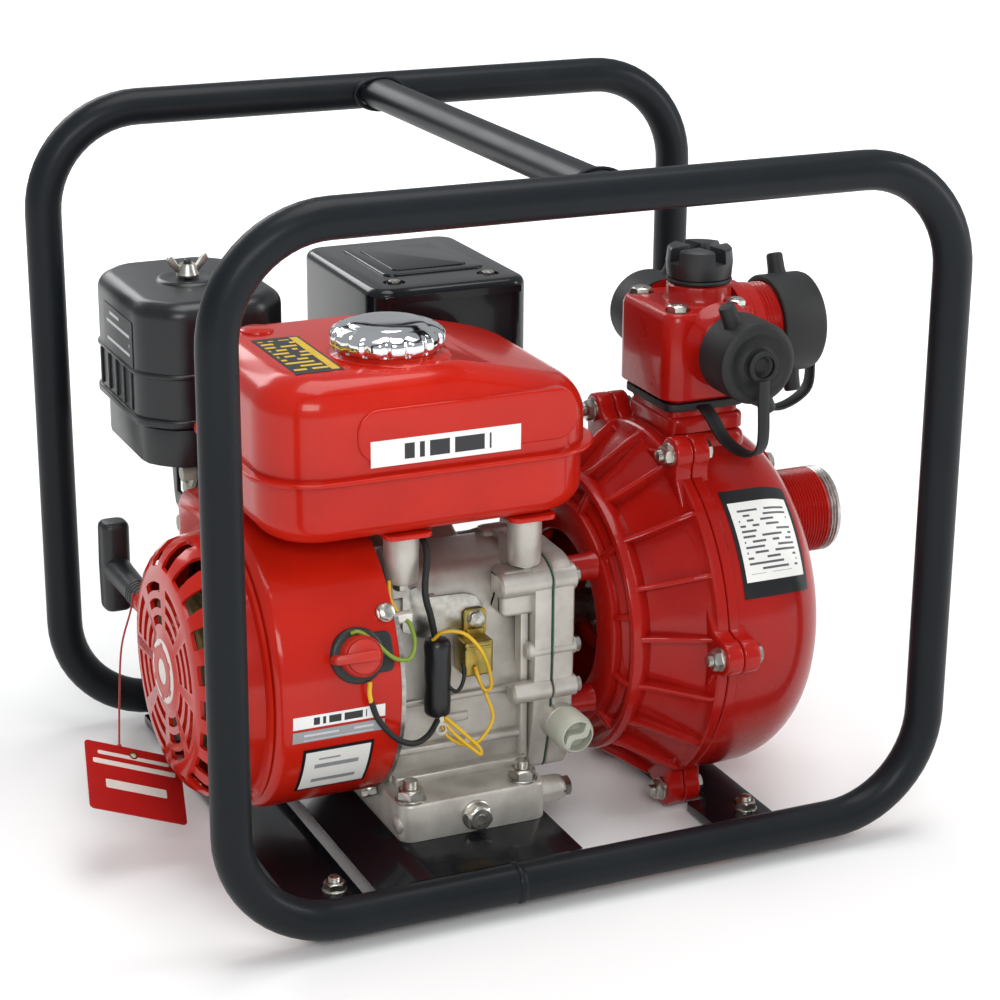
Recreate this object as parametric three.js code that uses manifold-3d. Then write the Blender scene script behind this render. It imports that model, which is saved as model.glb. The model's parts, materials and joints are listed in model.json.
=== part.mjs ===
// Portable fire pump: a petrol engine and a centrifugal pump in a bent-tube carrying frame.
// Millimetres, +Z up, +X from the engine towards the pump, +Y to the back.
// The origin is on the floor under the middle of the frame.
import * as THREE from 'three';
import { mergeVertices } from 'three/addons/utils/BufferGeometryUtils.js';
import Module from 'manifold-3d';

const wasm = await Module();
wasm.setup();

// ---- driving dimensions ----
const gap = 0.3; // between pieces that touch
const facetShare = 0.7; // how finely round pieces are faceted
const tubeRadius = 12.7;
const loopLength = 493.1; // between tube centres, along X
const loopHeight = 444.9; // between tube centres, along Z
const loopSpacing = 384.3; // between the two loops, along Y
const bendRadius = 70;
const footDrop = 6.3; // feet below the tubes
const footRadius = 12;
const footInset = 54; // foot centre from the loop's tube centre
const footOffset = 8; // and from the rail's middle
const weldX = -56;
const weldHeight = 0.5;

const railWidth = 47;
const railDepth = 7;
const railBelowTube = 9; // rail top below the tube centres
const sheetThickness = 3;
const railLeftX = -169;
const railRightX = 133.5;
const plateLeft = -122;
const plateRight = -6;
const plateFlare = 22; // the left side leans out, the right one stands upright
const plateDepth = 11;
const plateAboveTube = 11.7; // plate top above the tube centres

const crankHeight = 106; // crank axis above the plate
const crankY = -38;
const shaftRadius = 12;
const runningSides = 34; // sides of a hole that the shaft turns in
const sealRadius = 24;
const bearingRadius = 26;
const bearingWidth = 13;
const cylinderTilt = THREE.MathUtils.degToRad(25);
const cylinderX = -58;
const bore = 70;
const stroke = 55;
const pistonLength = 40;
const pistonTop = 138; // crown from the crank axis at the top of the stroke
const barrelHalf = 42;

const caseLeft = -106;
const gasketX = 5;
const gasketThickness = 1;
const coverFace = 22;
const wall = 7;

const shroudRadius = 98;
const shroudLeft = -197;
const shroudRight = -112;
const shroudWall = 2.5;
const recoilFace = -240;
const recoilRadius = 88;
const reelX = -222.5;
const reelRadius = 54;
const pullTilt = THREE.MathUtils.degToRad(1);
const handleV = 172; // handle centre behind the crank axis
const handleW = 13; // and above it
const handleHalfWidth = 10.5; // so that it passes beside the rear loop when pulled
const guideReach = 12; // the rope guide stands this far past the recoil cover's rim

const tankLeft = -198;
const tankRight = 40;
const tankFront = -92;
const tankBack = 89;
const tankBottom = 100;
const tankSeam = 144;
const tankTop = 208;
const tankWall = 3;
const tankCorner = 34;
const tankSlopeLength = 100; // the right end of the tank's top slopes down
const tankSlopeDrop = 24;
const capX = -93;
const capV = -29;
const fuelCapRadius = 37.5;
const fillerRadius = 27;

const splitX = 110; // joint between the two pump castings
const pumpRadius = 126;
const earRadius = 12;
const earThickness = 12;
const pumpBoltOut = 9; // bolt circle outside the pump's radius
const pumpBoltRadius = pumpRadius + pumpBoltOut;
const pumpWall = 9;
const pumpFrontX = 196;
const pumpBoltAngles = [25, 88, 154, -26, -90, -154];
const impellerRadius = 84;
const suctionInset = 79; // suction axis below the pump's rim
const suctionW = pumpRadius - suctionInset;
const suctionRadius = 30.5;
const suctionBore = 24;
const suctionEnd = 252;

const manifoldX = 137;
const manifoldWidth = 68;
const manifoldV = -3;
const manifoldDepth = 78;
const neckRise = 27; // manifold above the pump's rim
const manifoldHeight = 61;
const outletRise = 36; // outlet axes above the manifold's underside
const manifoldBottom = pumpRadius + neckRise;
const manifoldTop = manifoldBottom + manifoldHeight;
const outletW = manifoldBottom + outletRise;
const smallOutletRadius = 23.5;
const largeOutletRadius = 30;
const outletWall = 5;
const capWall = 3.5;
const capRun = 0.8; // radial clearance of a screw cap on its thread

const colours = {
  frame: { color: 0x2c3338, roughness: 0.35, metalness: 0.2 },
  black: { color: 0x14171a, roughness: 0.35, metalness: 0.1 },
  red: { color: 0xb8261a, roughness: 0.25, metalness: 0 },
  pumpRed: { color: 0xa21b15, roughness: 0.3, metalness: 0 },
  cast: { color: 0xb3aca2, roughness: 0.45, metalness: 0.8 },
  steel: { color: 0x9a9c9c, roughness: 0.3, metalness: 1 },
  chrome: { color: 0xd8dadc, roughness: 0.08, metalness: 1 },
  plastic: { color: 0x1a1c1e, roughness: 0.55, metalness: 0 },
  rubber: { color: 0x17181a, roughness: 0.8, metalness: 0 },
  gold: { color: 0xa08a4a, roughness: 0.35, metalness: 0.8 },
  green: { color: 0x1c4a38, roughness: 0.8, metalness: 0 },
  grey: { color: 0xb6b7aa, roughness: 0.5, metalness: 0 },
  yellow: { color: 0xd8b020, roughness: 0.5, metalness: 0 },
};

// ---- places worked out from them ----
const tubeZ = footDrop + tubeRadius;
const railTop = tubeZ - railBelowTube;
const plateTop = tubeZ + plateAboveTube;
const crankZ = plateTop + gap + crankHeight;
const caseBase = -crankHeight;
const alongBore = new THREE.Vector2(Math.cos(cylinderTilt), Math.sin(cylinderTilt));
const manifoldFront = manifoldV - manifoldDepth / 2;
const manifoldBack = manifoldV + manifoldDepth / 2;
const manifoldRight = manifoldX + manifoldWidth / 2;

// ---- geometry helpers ----
function signedVolume(geometry) {
  const points = geometry.attributes.position;
  const corners = [new THREE.Vector3(), new THREE.Vector3(), new THREE.Vector3()];
  let sum = 0;
  for (let i = 0; i < geometry.index.count; i += 3) {
    corners.forEach((corner, k) => corner.fromBufferAttribute(points, geometry.index.getX(i + k)));
    sum += corners[0].dot(corners[1].cross(corners[2]));
  }
  return sum;
}

function solidOf(source) {
  source.deleteAttribute('normal');
  source.deleteAttribute('uv');
  const merged = mergeVertices(source, 1e-4);
  const triVerts = new Uint32Array(merged.index.array);
  if (signedVolume(merged) < 0) {
    triVerts.reverse();
  }
  const vertProperties = new Float32Array(merged.attributes.position.array);
  return new wasm.Manifold(new wasm.Mesh({ numProp: 3, vertProperties, triVerts }));
}

function geometryOf(solid) {
  const mesh = solid.getMesh();
  const geometry = new THREE.BufferGeometry();
  geometry.setAttribute('position', new THREE.BufferAttribute(mesh.vertProperties, 3));
  geometry.setIndex(new THREE.BufferAttribute(mesh.triVerts, 1));
  geometry.computeVertexNormals();
  return geometry;
}

function block(x0, x1, y0, y1, z0, z1) {
  const geometry = new THREE.BoxGeometry(x1 - x0, y1 - y0, z1 - z0);
  geometry.translate((x0 + x1) / 2, (y0 + y1) / 2, (z0 + z1) / 2);
  return solidOf(geometry);
}

// Turns local +Y onto the named axis and moves it to its two cross coordinates.
function ontoAxis(geometry, axis, a, b) {
  if (axis === 'x') {
    geometry.rotateZ(-Math.PI / 2);
    geometry.translate(0, a, b);
  } else if (axis === 'y') {
    geometry.translate(a, 0, b);
  } else {
    geometry.rotateX(Math.PI / 2);
    geometry.translate(a, b, 0);
  }
  return geometry;
}

// Round pieces take this share of the sides asked for, and never fewer than six.
function facets(sides) {
  return Math.max(6, Math.round(sides * facetShare));
}

function rod(axis, radius, from, to, a, b, sides = 16, endRadius = radius) {
  const geometry = new THREE.CylinderGeometry(endRadius, radius, to - from, facets(sides));
  geometry.translate(0, (from + to) / 2, 0);
  return solidOf(ontoAxis(geometry, axis, a, b));
}

function tube(axis, radius, boreRadius, from, to, a, b, sides = 20) {
  const outer = rod(axis, radius, from, to, a, b, sides);
  return outer.subtract(rod(axis, boreRadius, from - 1, to + 1, a, b, sides));
}

// A profile of [along, radius] pairs turned about the named axis.
function turned(axis, profile, a, b, sides = 28) {
  const points = profile.map(([along, radius]) => new THREE.Vector2(radius, along));
  const geometry = new THREE.LatheGeometry(points, facets(sides));
  return solidOf(ontoAxis(geometry, axis, a, b));
}

function roundedShape(points, radius) {
  const shape = new THREE.Shape();
  points.forEach(([x, y], i) => {
    const corner = new THREE.Vector2(x, y);
    const before = new THREE.Vector2(...points.at(i - 1)).sub(corner);
    const after = new THREE.Vector2(...points[(i + 1) % points.length]).sub(corner);
    const reach = Math.min(radius, before.length() / 2.05, after.length() / 2.05);
    const start = before.setLength(reach).add(corner);
    const end = after.setLength(reach).add(corner);
    if (i === 0) {
      shape.moveTo(start.x, start.y);
    } else {
      shape.lineTo(start.x, start.y);
    }
    shape.quadraticCurveTo(corner.x, corner.y, end.x, end.y);
  });
  shape.closePath();
  return shape;
}

function plainShape(points) {
  return new THREE.Shape(points.map(([x, y]) => new THREE.Vector2(x, y)));
}

const shapeBases = {
  x: [new THREE.Vector3(0, 1, 0), new THREE.Vector3(0, 0, 1), new THREE.Vector3(1, 0, 0)],
  y: [new THREE.Vector3(0, 0, 1), new THREE.Vector3(1, 0, 0), new THREE.Vector3(0, 1, 0)],
  z: [new THREE.Vector3(1, 0, 0), new THREE.Vector3(0, 1, 0), new THREE.Vector3(0, 0, 1)],
};

// An outline pushed along an axis. Its pairs are (y, z) along X, (z, x) along Y and (x, y) along Z.
function prism(axis, shape, from, to, bevel = 0, curveSegments = 3) {
  const geometry = new THREE.ExtrudeGeometry(shape, {
    depth: to - from - 2 * bevel,
    curveSegments,
    bevelEnabled: bevel > 0,
    bevelThickness: bevel,
    bevelSize: bevel,
    bevelOffset: -bevel,
    bevelSegments: 2,
  });
  geometry.translate(0, 0, from + bevel);
  geometry.applyMatrix4(new THREE.Matrix4().makeBasis(...shapeBases[axis]));
  return solidOf(geometry);
}

function rectangle(a0, a1, b0, b1) {
  return [[a0, b0], [a1, b0], [a1, b1], [a0, b1]];
}

// A path through chosen stations, so that only its bends take short steps.
class StationPath extends THREE.Curve {
  constructor(stations) {
    super();
    this.stations = stations;
  }

  getPoint(t, target = new THREE.Vector3()) {
    const last = this.stations.length - 1;
    const index = Math.min(Math.floor(t * last), last - 1);
    return target.lerpVectors(this.stations[index], this.stations[index + 1], t * last - index);
  }

  getUtoTmapping(u) {
    return u;
  }
}

function sweep(stations, radius, sides = 8) {
  const section = new THREE.Shape();
  section.absarc(0, 0, radius, 0, 2 * Math.PI);
  const geometry = new THREE.ExtrudeGeometry(section, {
    steps: stations.length - 1,
    curveSegments: sides / 2,
    extrudePath: new StationPath(stations),
  });
  return solidOf(geometry);
}

function smoothStations(points, count) {
  const vectors = points.map((point) => new THREE.Vector3(...point));
  return new THREE.CatmullRomCurve3(vectors).getSpacedPoints(count);
}

function ribbon(points, width, thickness, count = 14) {
  const stations = smoothStations(points, count);
  const section = plainShape(rectangle(-width / 2, width / 2, -thickness / 2, thickness / 2));
  const geometry = new THREE.ExtrudeGeometry(section, {
    steps: stations.length - 1,
    extrudePath: new StationPath(stations),
  });
  return solidOf(geometry);
}

function joined(solids) {
  return solids.reduce((whole, next) => whole.add(next));
}

function piece(parent, name, solid, finish) {
  const mesh = new THREE.Mesh(geometryOf(solid), new THREE.MeshStandardMaterial(colours[finish]));
  mesh.name = name;
  parent.add(mesh);
}

// ---- carrying frame ----
function loopStations(y) {
  const stations = [];
  const straightX = loopLength / 2 - bendRadius;
  const straightZ = loopHeight / 2 - bendRadius;
  const middleZ = tubeZ + loopHeight / 2;
  const corners = [[1, -1, -90], [1, 1, 0], [-1, 1, 90], [-1, -1, 180]];
  const bendSteps = 4;
  stations.push(new THREE.Vector3(weldX + gap, y, tubeZ));
  corners.forEach(([sideX, sideZ, firstAngle]) => {
    for (let step = 0; step <= bendSteps; step += 1) {
      const angle = THREE.MathUtils.degToRad(firstAngle + 90 * step / bendSteps);
      const x = sideX * straightX + bendRadius * Math.cos(angle);
      const z = middleZ + sideZ * straightZ + bendRadius * Math.sin(angle);
      stations.push(new THREE.Vector3(x, y, z));
    }
  });
  stations.push(new THREE.Vector3(weldX - gap, y, tubeZ));
  return stations;
}

function frameLoop(y) {
  const bead = rod('x', tubeRadius + weldHeight, weldX - 3, weldX + 3, y, tubeZ, 16);
  return sweep(loopStations(y), tubeRadius, 10).add(bead);
}

function clearOfTubes(solid, z) {
  const reach = loopLength / 2;
  return [-1, 1].reduce((rest, side) => {
    const y = side * loopSpacing / 2;
    return rest.subtract(rod('x', tubeRadius + weldHeight + gap, -reach, reach, y, z, 24));
  }, solid);
}

function carryBar() {
  const halfWidth = 13;
  const halfHeight = 9;
  const z = tubeZ + loopHeight;
  const outline = rectangle(z - halfHeight, z + halfHeight, -halfWidth, halfWidth);
  const bar = prism('y', roundedShape(outline, halfHeight), -loopSpacing / 2, loopSpacing / 2);
  return clearOfTubes(bar, z);
}

function channel(outline, setBack = 0) {
  const half = loopSpacing / 2 - setBack;
  const bar = prism('y', plainShape(outline), -half, half);
  return clearOfTubes(bar, tubeZ);
}

function crossRail(x) {
  const left = x - railWidth / 2;
  const right = x + railWidth / 2;
  const low = railTop - railDepth;
  const under = railTop - sheetThickness;
  return channel([
    [low, left], [railTop, left], [railTop, right], [low, right], [low, right - sheetThickness],
    [under, right - sheetThickness], [under, left + sheetThickness], [low, left + sheetThickness],
  ], tubeRadius - 2);
}

function enginePlate() {
  const low = plateTop - plateDepth;
  const under = plateTop - sheetThickness;
  return channel([
    [low, plateLeft - plateFlare], [plateTop, plateLeft], [plateTop, plateRight], [low, plateRight],
    [low, plateRight - sheetThickness], [under, plateRight - sheetThickness],
    [under, plateLeft + 1], [low, plateLeft - plateFlare + 2 * sheetThickness],
  ]);
}

// The right rail is cut away under the pump's lowest flange ears.
function notchedRail(x) {
  const low = railTop - railDepth - 1;
  return pumpBoltAngles.reduce((rest, angle) => {
    const v = -Math.sin(THREE.MathUtils.degToRad(angle)) * pumpBoltRadius + crankY;
    const from = splitX - earThickness - 3;
    const to = splitX + earThickness + 3;
    const isLow = Math.abs(angle) > 120;
    return isLow ? rest.subtract(block(from, to, v - earRadius - 3, v + earRadius + 3, low, railTop + 1)) : rest;
  }, crossRail(x));
}

const frameGroup = new THREE.Group();
piece(frameGroup, 'frame_loop_front', frameLoop(-loopSpacing / 2), 'frame');
piece(frameGroup, 'frame_loop_rear', frameLoop(loopSpacing / 2), 'frame');
piece(frameGroup, 'carry_bar', carryBar(), 'frame');
piece(frameGroup, 'cross_rail_left', crossRail(railLeftX), 'black');
piece(frameGroup, 'cross_rail_right', notchedRail(railRightX), 'black');
piece(frameGroup, 'engine_base_plate', enginePlate(), 'black');
[['left', railLeftX], ['right', railRightX]].forEach(([side, x]) => {
  [['front', -1], ['rear', 1]].forEach(([end, direction]) => {
    const y = direction * (loopSpacing / 2 - footInset);
    const top = railTop - sheetThickness - gap;
    const foot = rod('z', footRadius, 0, top, x + footOffset, y, 20, footRadius - 2);
    piece(frameGroup, `rubber_foot_${side}_${end}`, foot, 'rubber');
  });
});

// ---- engine and pump, both about the crank axis: (x, v, w), v to the back and w up from it ----
const powerGroup = new THREE.Group();
powerGroup.position.set(0, crankY, crankZ);

const bareCaseOutline = [
  [-58, -84], [-58, -20], [-50, 8], [-50, 45], [-38, 60], [10, 62], [60, 34], [84, 0], [84, -84],
];
const coverOutline = [
  [-60, -88], [-70, -50], [-72, 0], [-72, 56], [-58, 64], [10, 66], [62, 42], [84, 6], [80, -88],
];
const cavityOutline = [
  [-48, -80], [-44, 0], [-44, 42], [-34, 52], [8, 54], [54, 28], [74, -4], [74, -80],
];

// A solid drawn along +Y with its cross section about the origin, laid along the cylinder's axis.
function alongCylinder(geometry, from) {
  geometry.translate(0, from, 0);
  geometry.rotateX(cylinderTilt);
  geometry.translate(cylinderX, 0, 0);
  return solidOf(geometry);
}

function boreRod(radius, from, to, sides = 28) {
  return alongCylinder(new THREE.CylinderGeometry(radius, radius, to - from, sides), (from + to) / 2);
}

function boreBlock(halfX, halfAcross, from, to) {
  const geometry = new THREE.BoxGeometry(2 * halfX, to - from, 2 * halfAcross);
  return alongCylinder(geometry, (from + to) / 2);
}

function finned(core, halfX, halfAcross, from, to, pitch) {
  const fins = [];
  for (let along = from; along + pitch / 2 <= to; along += pitch) {
    fins.push(boreBlock(halfX, halfAcross, along, along + pitch / 3));
  }
  return core.add(joined(fins));
}

function tankPost(x) {
  const post = rod('z', 11.5, 62, tankBottom - gap, x, -60, 16);
  return post.add(block(x - 8, x + 8, -60, -34, 52, 78));
}

const deck = pistonTop + 1;
function crankcase() {
  const plateBoss = block(-112, -8, -97, 100, caseBase, caseBase + 26);
  const shell = joined([
    prism('x', roundedShape(bareCaseOutline, 6), caseLeft, gasketX - 12, 0, 2),
    prism('x', roundedShape(coverOutline, 6), gasketX - 12, gasketX, 0, 2),
    finned(boreBlock(bore / 2 + 4, bore / 2 + 3, 20, deck), 45, barrelHalf, 70, deck, 9),
    plateBoss,
    tankPost(-97),
    tankPost(-10),
  ]);
  const cavity = prism('x', plainShape(cavityOutline), caseLeft + wall, gasketX + 1);
  const bearingBoss = rod('x', bearingRadius + 6, caseLeft, caseLeft + bearingWidth + wall, 0, 0, 24);
  const bearingSeat = rod('x', bearingRadius + gap, caseLeft + wall, gasketX, 0, 0, 24);
  return shell
    .subtract(cavity)
    .add(bearingBoss)
    .subtract(bearingSeat)
    .subtract(boreRod(bore / 2, 20, deck + 5))
    .subtract(rod('x', shaftRadius + gap, caseLeft - 1, gasketX, 0, 0, runningSides));
}

const dipstickX = 12;
const dipstickW = -50;
function sideCover() {
  const start = gasketX + gasketThickness + 2 * gap;
  const outer = prism('x', roundedShape(coverOutline, 6), start, coverFace, 0, 2);
  const pocket = prism('x', plainShape(cavityOutline), start - 1, coverFace - wall);
  const bearingBoss = rod('x', bearingRadius + 6, start, coverFace, 0, 0, 24);
  const hub = rod('x', 36, coverFace - 1, coverFace + 2, 0, 0, 28);
  const fillerBoss = rod('y', 12, -78, -50, dipstickX, dipstickW, 16);
  const gasketSide = block(-20, start, -73, -20, dipstickW - 20, dipstickW + 20);
  const fillerHole = rod('y', 5.3, -79, -40, dipstickX, dipstickW, 16);
  const seat = rod('x', bearingRadius + gap, start - 1, start + bearingWidth, 0, 0, 24);
  return outer
    .subtract(pocket)
    .add(bearingBoss)
    .add(hub)
    .add(fillerBoss.subtract(gasketSide))
    .subtract(fillerHole)
    .subtract(seat)
    .subtract(rod('x', shaftRadius + gap, start, coverFace + 3, 0, 0, runningSides));
}

function caseGasket() {
  const start = gasketX + gap;
  const sheet = prism('x', roundedShape(coverOutline, 6), start, start + gasketThickness, 0, 2);
  return sheet.subtract(prism('x', plainShape(cavityOutline), start - 1, start + 3));
}

function bearing(from) {
  return tube('x', bearingRadius, shaftRadius + gap, from, from + bearingWidth, 0, 0, 24);
}

function crankshaft() {
  const throwRadius = stroke / 2;
  const webOutline = [[-13, -32], [13, -32], [26, -22], [14, 38], [-14, 38], [-26, -22]];
  const pin = rod('x', 13, cylinderX - 17, cylinderX + 17, throwRadius, 0, 16);
  const webs = [-17, 9].map((offset) => {
    const outline = webOutline.map(([across, along]) => [along, across]);
    const from = cylinderX + offset;
    return prism('x', roundedShape(outline, 6), from, from + 8, 0, 2);
  });
  const left = rod('x', shaftRadius, -186, cylinderX - 10, 0, 0, 20);
  const right = rod('x', shaftRadius, cylinderX + 10, 132, 0, 0, 20);
  return joined([pin, ...webs, left, right]);
}

function piston() {
  const body = boreRod(bore / 2 - gap, pistonTop - pistonLength, pistonTop, 28);
  return body.subtract(boreRod(bore / 2 - 6, pistonTop - pistonLength - 1, pistonTop - 8, 20));
}

const headEnd = deck + 32;
function cylinderHead() {
  const start = deck + gap;
  const core = boreBlock(45, barrelHalf, start, start + 8);
  const body = core.add(boreBlock(33, 34, start, headEnd));
  return finned(body, 45, barrelHalf, start + 12, headEnd - 1, 8)
    .subtract(boreRod(bore / 2, start - 1, start + 5));
}

function rockerCover() {
  const start = headEnd + gap;
  const body = boreBlock(40, 36, start, start + 4).add(boreBlock(35, 31, start, start + 26));
  return body.subtract(boreBlock(32, 28, start - 1, start + 23));
}

function sparkPlug() {
  const direction = new THREE.Vector3(-0.2, -alongBore.y, alongBore.x).normalize();
  const seat = new THREE.Vector3(cylinderX, alongBore.x * (deck + 16), alongBore.y * (deck + 16));
  const at = (distance) => seat.clone().addScaledVector(direction, distance);
  const boot = sweep([at(barrelHalf + 5), at(barrelHalf + 26)], 8, 12);
  return boot.add(sweep([at(barrelHalf + 4), at(barrelHalf + 7)], 10, 6));
}

function flywheel() {
  const disc = turned('x', [
    [-118, shaftRadius + gap], [-118, 70], [-134, 78], [-150, 78], [-150, 66],
    [-130, 60], [-126, 30], [-146, 22], [-146, shaftRadius + gap], [-118, shaftRadius + gap],
  ], 0, 0, 28);
  const blades = [];
  const bladeCount = 8;
  for (let i = 0; i < bladeCount; i += 1) {
    const angle = 360 * i / bladeCount;
    blades.push(block(-164, -149, -1.5, 1.5, 56, 86).rotate([angle, 0, 0]));
  }
  const rim = tube('x', 79, 70, -152, -148, 0, 0, 28);
  return joined([disc, rim, ...blades]);
}

function starterCup() {
  return turned('x', [
    [-152, shaftRadius + gap], [-152, 46], [-176, 46], [-176, 43],
    [-156, 43], [-156, shaftRadius + gap], [-152, shaftRadius + gap],
  ], 0, 0, 24);
}

// The shroud's section: a round fan housing that opens into a duct towards the cylinder.
function shroudOutline(inset) {
  const radius = shroudRadius - inset;
  const shape = new THREE.Shape();
  const top = THREE.MathUtils.degToRad(75);
  const bottom = THREE.MathUtils.degToRad(-40);
  shape.absarc(0, 0, radius, top, 2 * Math.PI + bottom, false);
  shape.lineTo(104 - inset, -52 + inset);
  shape.lineTo(104 - inset, 88 - inset);
  shape.lineTo(50, 92 - inset);
  shape.closePath();
  return shape;
}

function fanShroud() {
  const outer = prism('x', shroudOutline(0), shroudLeft, shroudRight, 0, 8);
  const inner = prism('x', shroudOutline(shroudWall), shroudLeft + shroudWall, shroudRight + 1, 0, 8);
  const opening = rod('x', 82, shroudLeft - 1, shroudLeft + 10, 0, 0, 28);
  return outer.subtract(inner).subtract(opening);
}

function radialSlots(count, radius, length, width, phase, skip = []) {
  const slots = [];
  for (let i = 0; i < count; i += 1) {
    const angle = phase + 360 * i / count;
    const slot = block(recoilFace - 5, recoilFace + 45, -width / 2, width / 2, radius, radius + length);
    if (!skip.includes(i)) {
      slots.push(slot.rotate([angle, 0, 0]));
    }
  }
  return slots;
}

function pullPoint(distance) {
  const v = handleV + Math.cos(pullTilt) * distance;
  const w = handleW + Math.sin(pullTilt) * distance;
  return new THREE.Vector3(reelX, v, w);
}

const eyeletAt = recoilRadius - handleV - 2; // along the pull line from the handle's centre
function recoilCover() {
  const rim = shroudLeft - gap;
  const shell = turned('x', [
    [recoilFace, 0], [recoilFace, 66], [-236, 76], [-226, 85], [rim - 4, recoilRadius],
    [rim - 4, recoilRadius + 6], [rim, recoilRadius + 6], [rim, recoilRadius - 3],
    [-224, 82], [-234, 73], [recoilFace + 3, 63], [recoilFace + 3, 0],
  ], 0, 0, 28);
  const post = rod('x', 6, recoilFace + 1, reelX + 10, 0, 0, 12);
  const eyelet = sweep([pullPoint(eyeletAt - 5), pullPoint(eyeletAt + guideReach)], 9, 12);
  const slots = [
    ...radialSlots(8, 36, 24, 8, 22.5),
    ...radialSlots(10, 72, 30, 10, 18, [7, 8]),
  ];
  return slots.reduce((rest, slot) => rest.subtract(slot), shell)
    .add(post)
    .add(eyelet)
    .subtract(sweep([pullPoint(eyeletAt - 20), pullPoint(eyeletAt + 20)], 4, 12));
}

function recoilReel() {
  return turned('x', [
    [reelX - 7, 6 + gap], [reelX - 7, reelRadius], [reelX - 4, reelRadius], [reelX - 4, reelRadius - 6],
    [reelX + 4, reelRadius - 6], [reelX + 4, reelRadius], [reelX + 7, reelRadius],
    [reelX + 7, 6 + gap], [reelX - 7, 6 + gap],
  ], 0, 0, 28);
}

function starterHandle() {
  const barShape = roundedShape(rectangle(-10, 10, -33, 33), 6);
  const bar = prism('x', barShape, reelX - handleHalfWidth, reelX + handleHalfWidth, 3, 2);
  const turnedBar = bar
    .rotate([THREE.MathUtils.radToDeg(pullTilt), 0, 0])
    .translate([0, handleV, handleW]);
  const snout = sweep([pullPoint(eyeletAt + guideReach + gap), pullPoint(-6)], 8.5, 12);
  return turnedBar.add(snout).subtract(sweep([pullPoint(eyeletAt), pullPoint(-30)], 3, 8));
}

function starterRope() {
  return sweep([pullPoint(eyeletAt - 24), pullPoint(eyeletAt), pullPoint(-32)], 2.4, 8);
}

// ---- switch and wiring ----
const switchAngle = THREE.MathUtils.degToRad(162);
const switchX = -141;
function onShroud(distance) {
  const v = Math.cos(switchAngle) * (shroudRadius + distance);
  const w = Math.sin(switchAngle) * (shroudRadius + distance);
  return new THREE.Vector3(switchX, v, w);
}

function switchPlate() {
  return sweep([onShroud(gap), onShroud(4)], 18, 16);
}

function switchKnob() {
  const knob = sweep([onShroud(4 + gap), onShroud(14)], 13.5, 16);
  const centre = onShroud(15);
  const grip = block(switchX - 21, switchX + 9, -3.5, 3.5, -4, 4)
    .rotate([90 - THREE.MathUtils.radToDeg(switchAngle), 0, 0])
    .translate([0, centre.y, centre.z]);
  return knob.add(grip);
}

function wire(points, radius = 1.7, count = 16) {
  return sweep(smoothStations(points, count), radius, 6);
}

// ---- tank, muffler and air cleaner ----
function tankPan(inset) {
  const [left, right] = [tankLeft + 7 + inset, tankRight - 7 - inset];
  const outline = rectangle(left, right, tankFront + 7 + inset, tankBack - 6 - inset);
  return prism('z', roundedShape(outline, tankCorner), tankBottom + inset, tankSeam + 6, 10);
}

function tankCrown(inset) {
  const [left, right] = [tankLeft + 6 + inset, tankRight - 6 - inset];
  const outline = rectangle(left, right, tankFront + 6 + inset, tankBack - 6 - inset);
  const crown = prism('z', roundedShape(outline, tankCorner), tankSeam - 6, tankTop - inset, 14);
  const [from, to] = [tankRight - tankSlopeLength, tankRight + 10];
  const drop = tankSlopeDrop * (to - from) / tankSlopeLength;
  const slope = plainShape([
    [tankTop - inset, from], [tankTop + 9, from], [tankTop + 9, to], [tankTop - inset - drop, to],
  ]);
  return crown.subtract(prism('y', slope, tankFront, tankBack));
}

function fuelTank() {
  const flange = prism('z', roundedShape(rectangle(tankLeft, tankRight, tankFront, tankBack), tankCorner + 4),
    tankSeam - 1.5, tankSeam + 1.5);
  const neck = rod('z', fillerRadius + 4, tankTop - 6, tankTop + 3, capX, capV, 24);
  return joined([tankPan(0), tankCrown(0), flange, neck])
    .subtract(tankPan(tankWall).add(tankCrown(tankWall)))
    .subtract(rod('z', fillerRadius, tankTop - 20, tankTop + 4, capX, capV, 24));
}

function fuelCap() {
  const low = tankTop + 3 + gap;
  return turned('z', [
    [low - 9, 0], [low - 9, fillerRadius - 1], [low, fillerRadius - 1], [low, fuelCapRadius - 2],
    [low + 3, fuelCapRadius], [low + 12, fuelCapRadius], [low + 17, fuelCapRadius - 7], [low + 17, 0],
  ], capX, capV, 32);
}

const guardLeft = -54;
const guardRight = 65;
const guardFront = 94;
const guardBack = 242;
const guardBottom = 146;
const guardTop = 213;
function mufflerGuard() {
  const shape = roundedShape(rectangle(guardLeft, guardRight, guardFront, guardBack), 16);
  const inset = roundedShape(rectangle(guardLeft + 2, guardRight - 2, guardFront + 2, guardBack - 2), 15);
  const outer = prism('z', shape, guardBottom, guardTop, 5);
  return outer.subtract(prism('z', inset, guardBottom - 20, guardTop - 2, 4));
}

function muffler() {
  const inset = 12;
  const outline = rectangle(guardLeft + inset, guardRight - inset, guardFront + inset, guardBack - inset);
  const drum = prism('z', roundedShape(outline, 20), guardBottom + 3, guardTop - 9, 8);
  const port = new THREE.Vector3(cylinderX + 45 + gap, alongBore.x * (deck + 16), alongBore.y * (deck + 16));
  const elbow = [
    port,
    port.clone().add(new THREE.Vector3(14, 0, 0)),
    port.clone().add(new THREE.Vector3(24, 3, 6)),
    port.clone().add(new THREE.Vector3(28, 6, 18)),
    new THREE.Vector3(port.x + 28, port.y + 6, guardBottom + 8),
  ];
  return drum.add(sweep(elbow, 12, 12));
}

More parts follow.
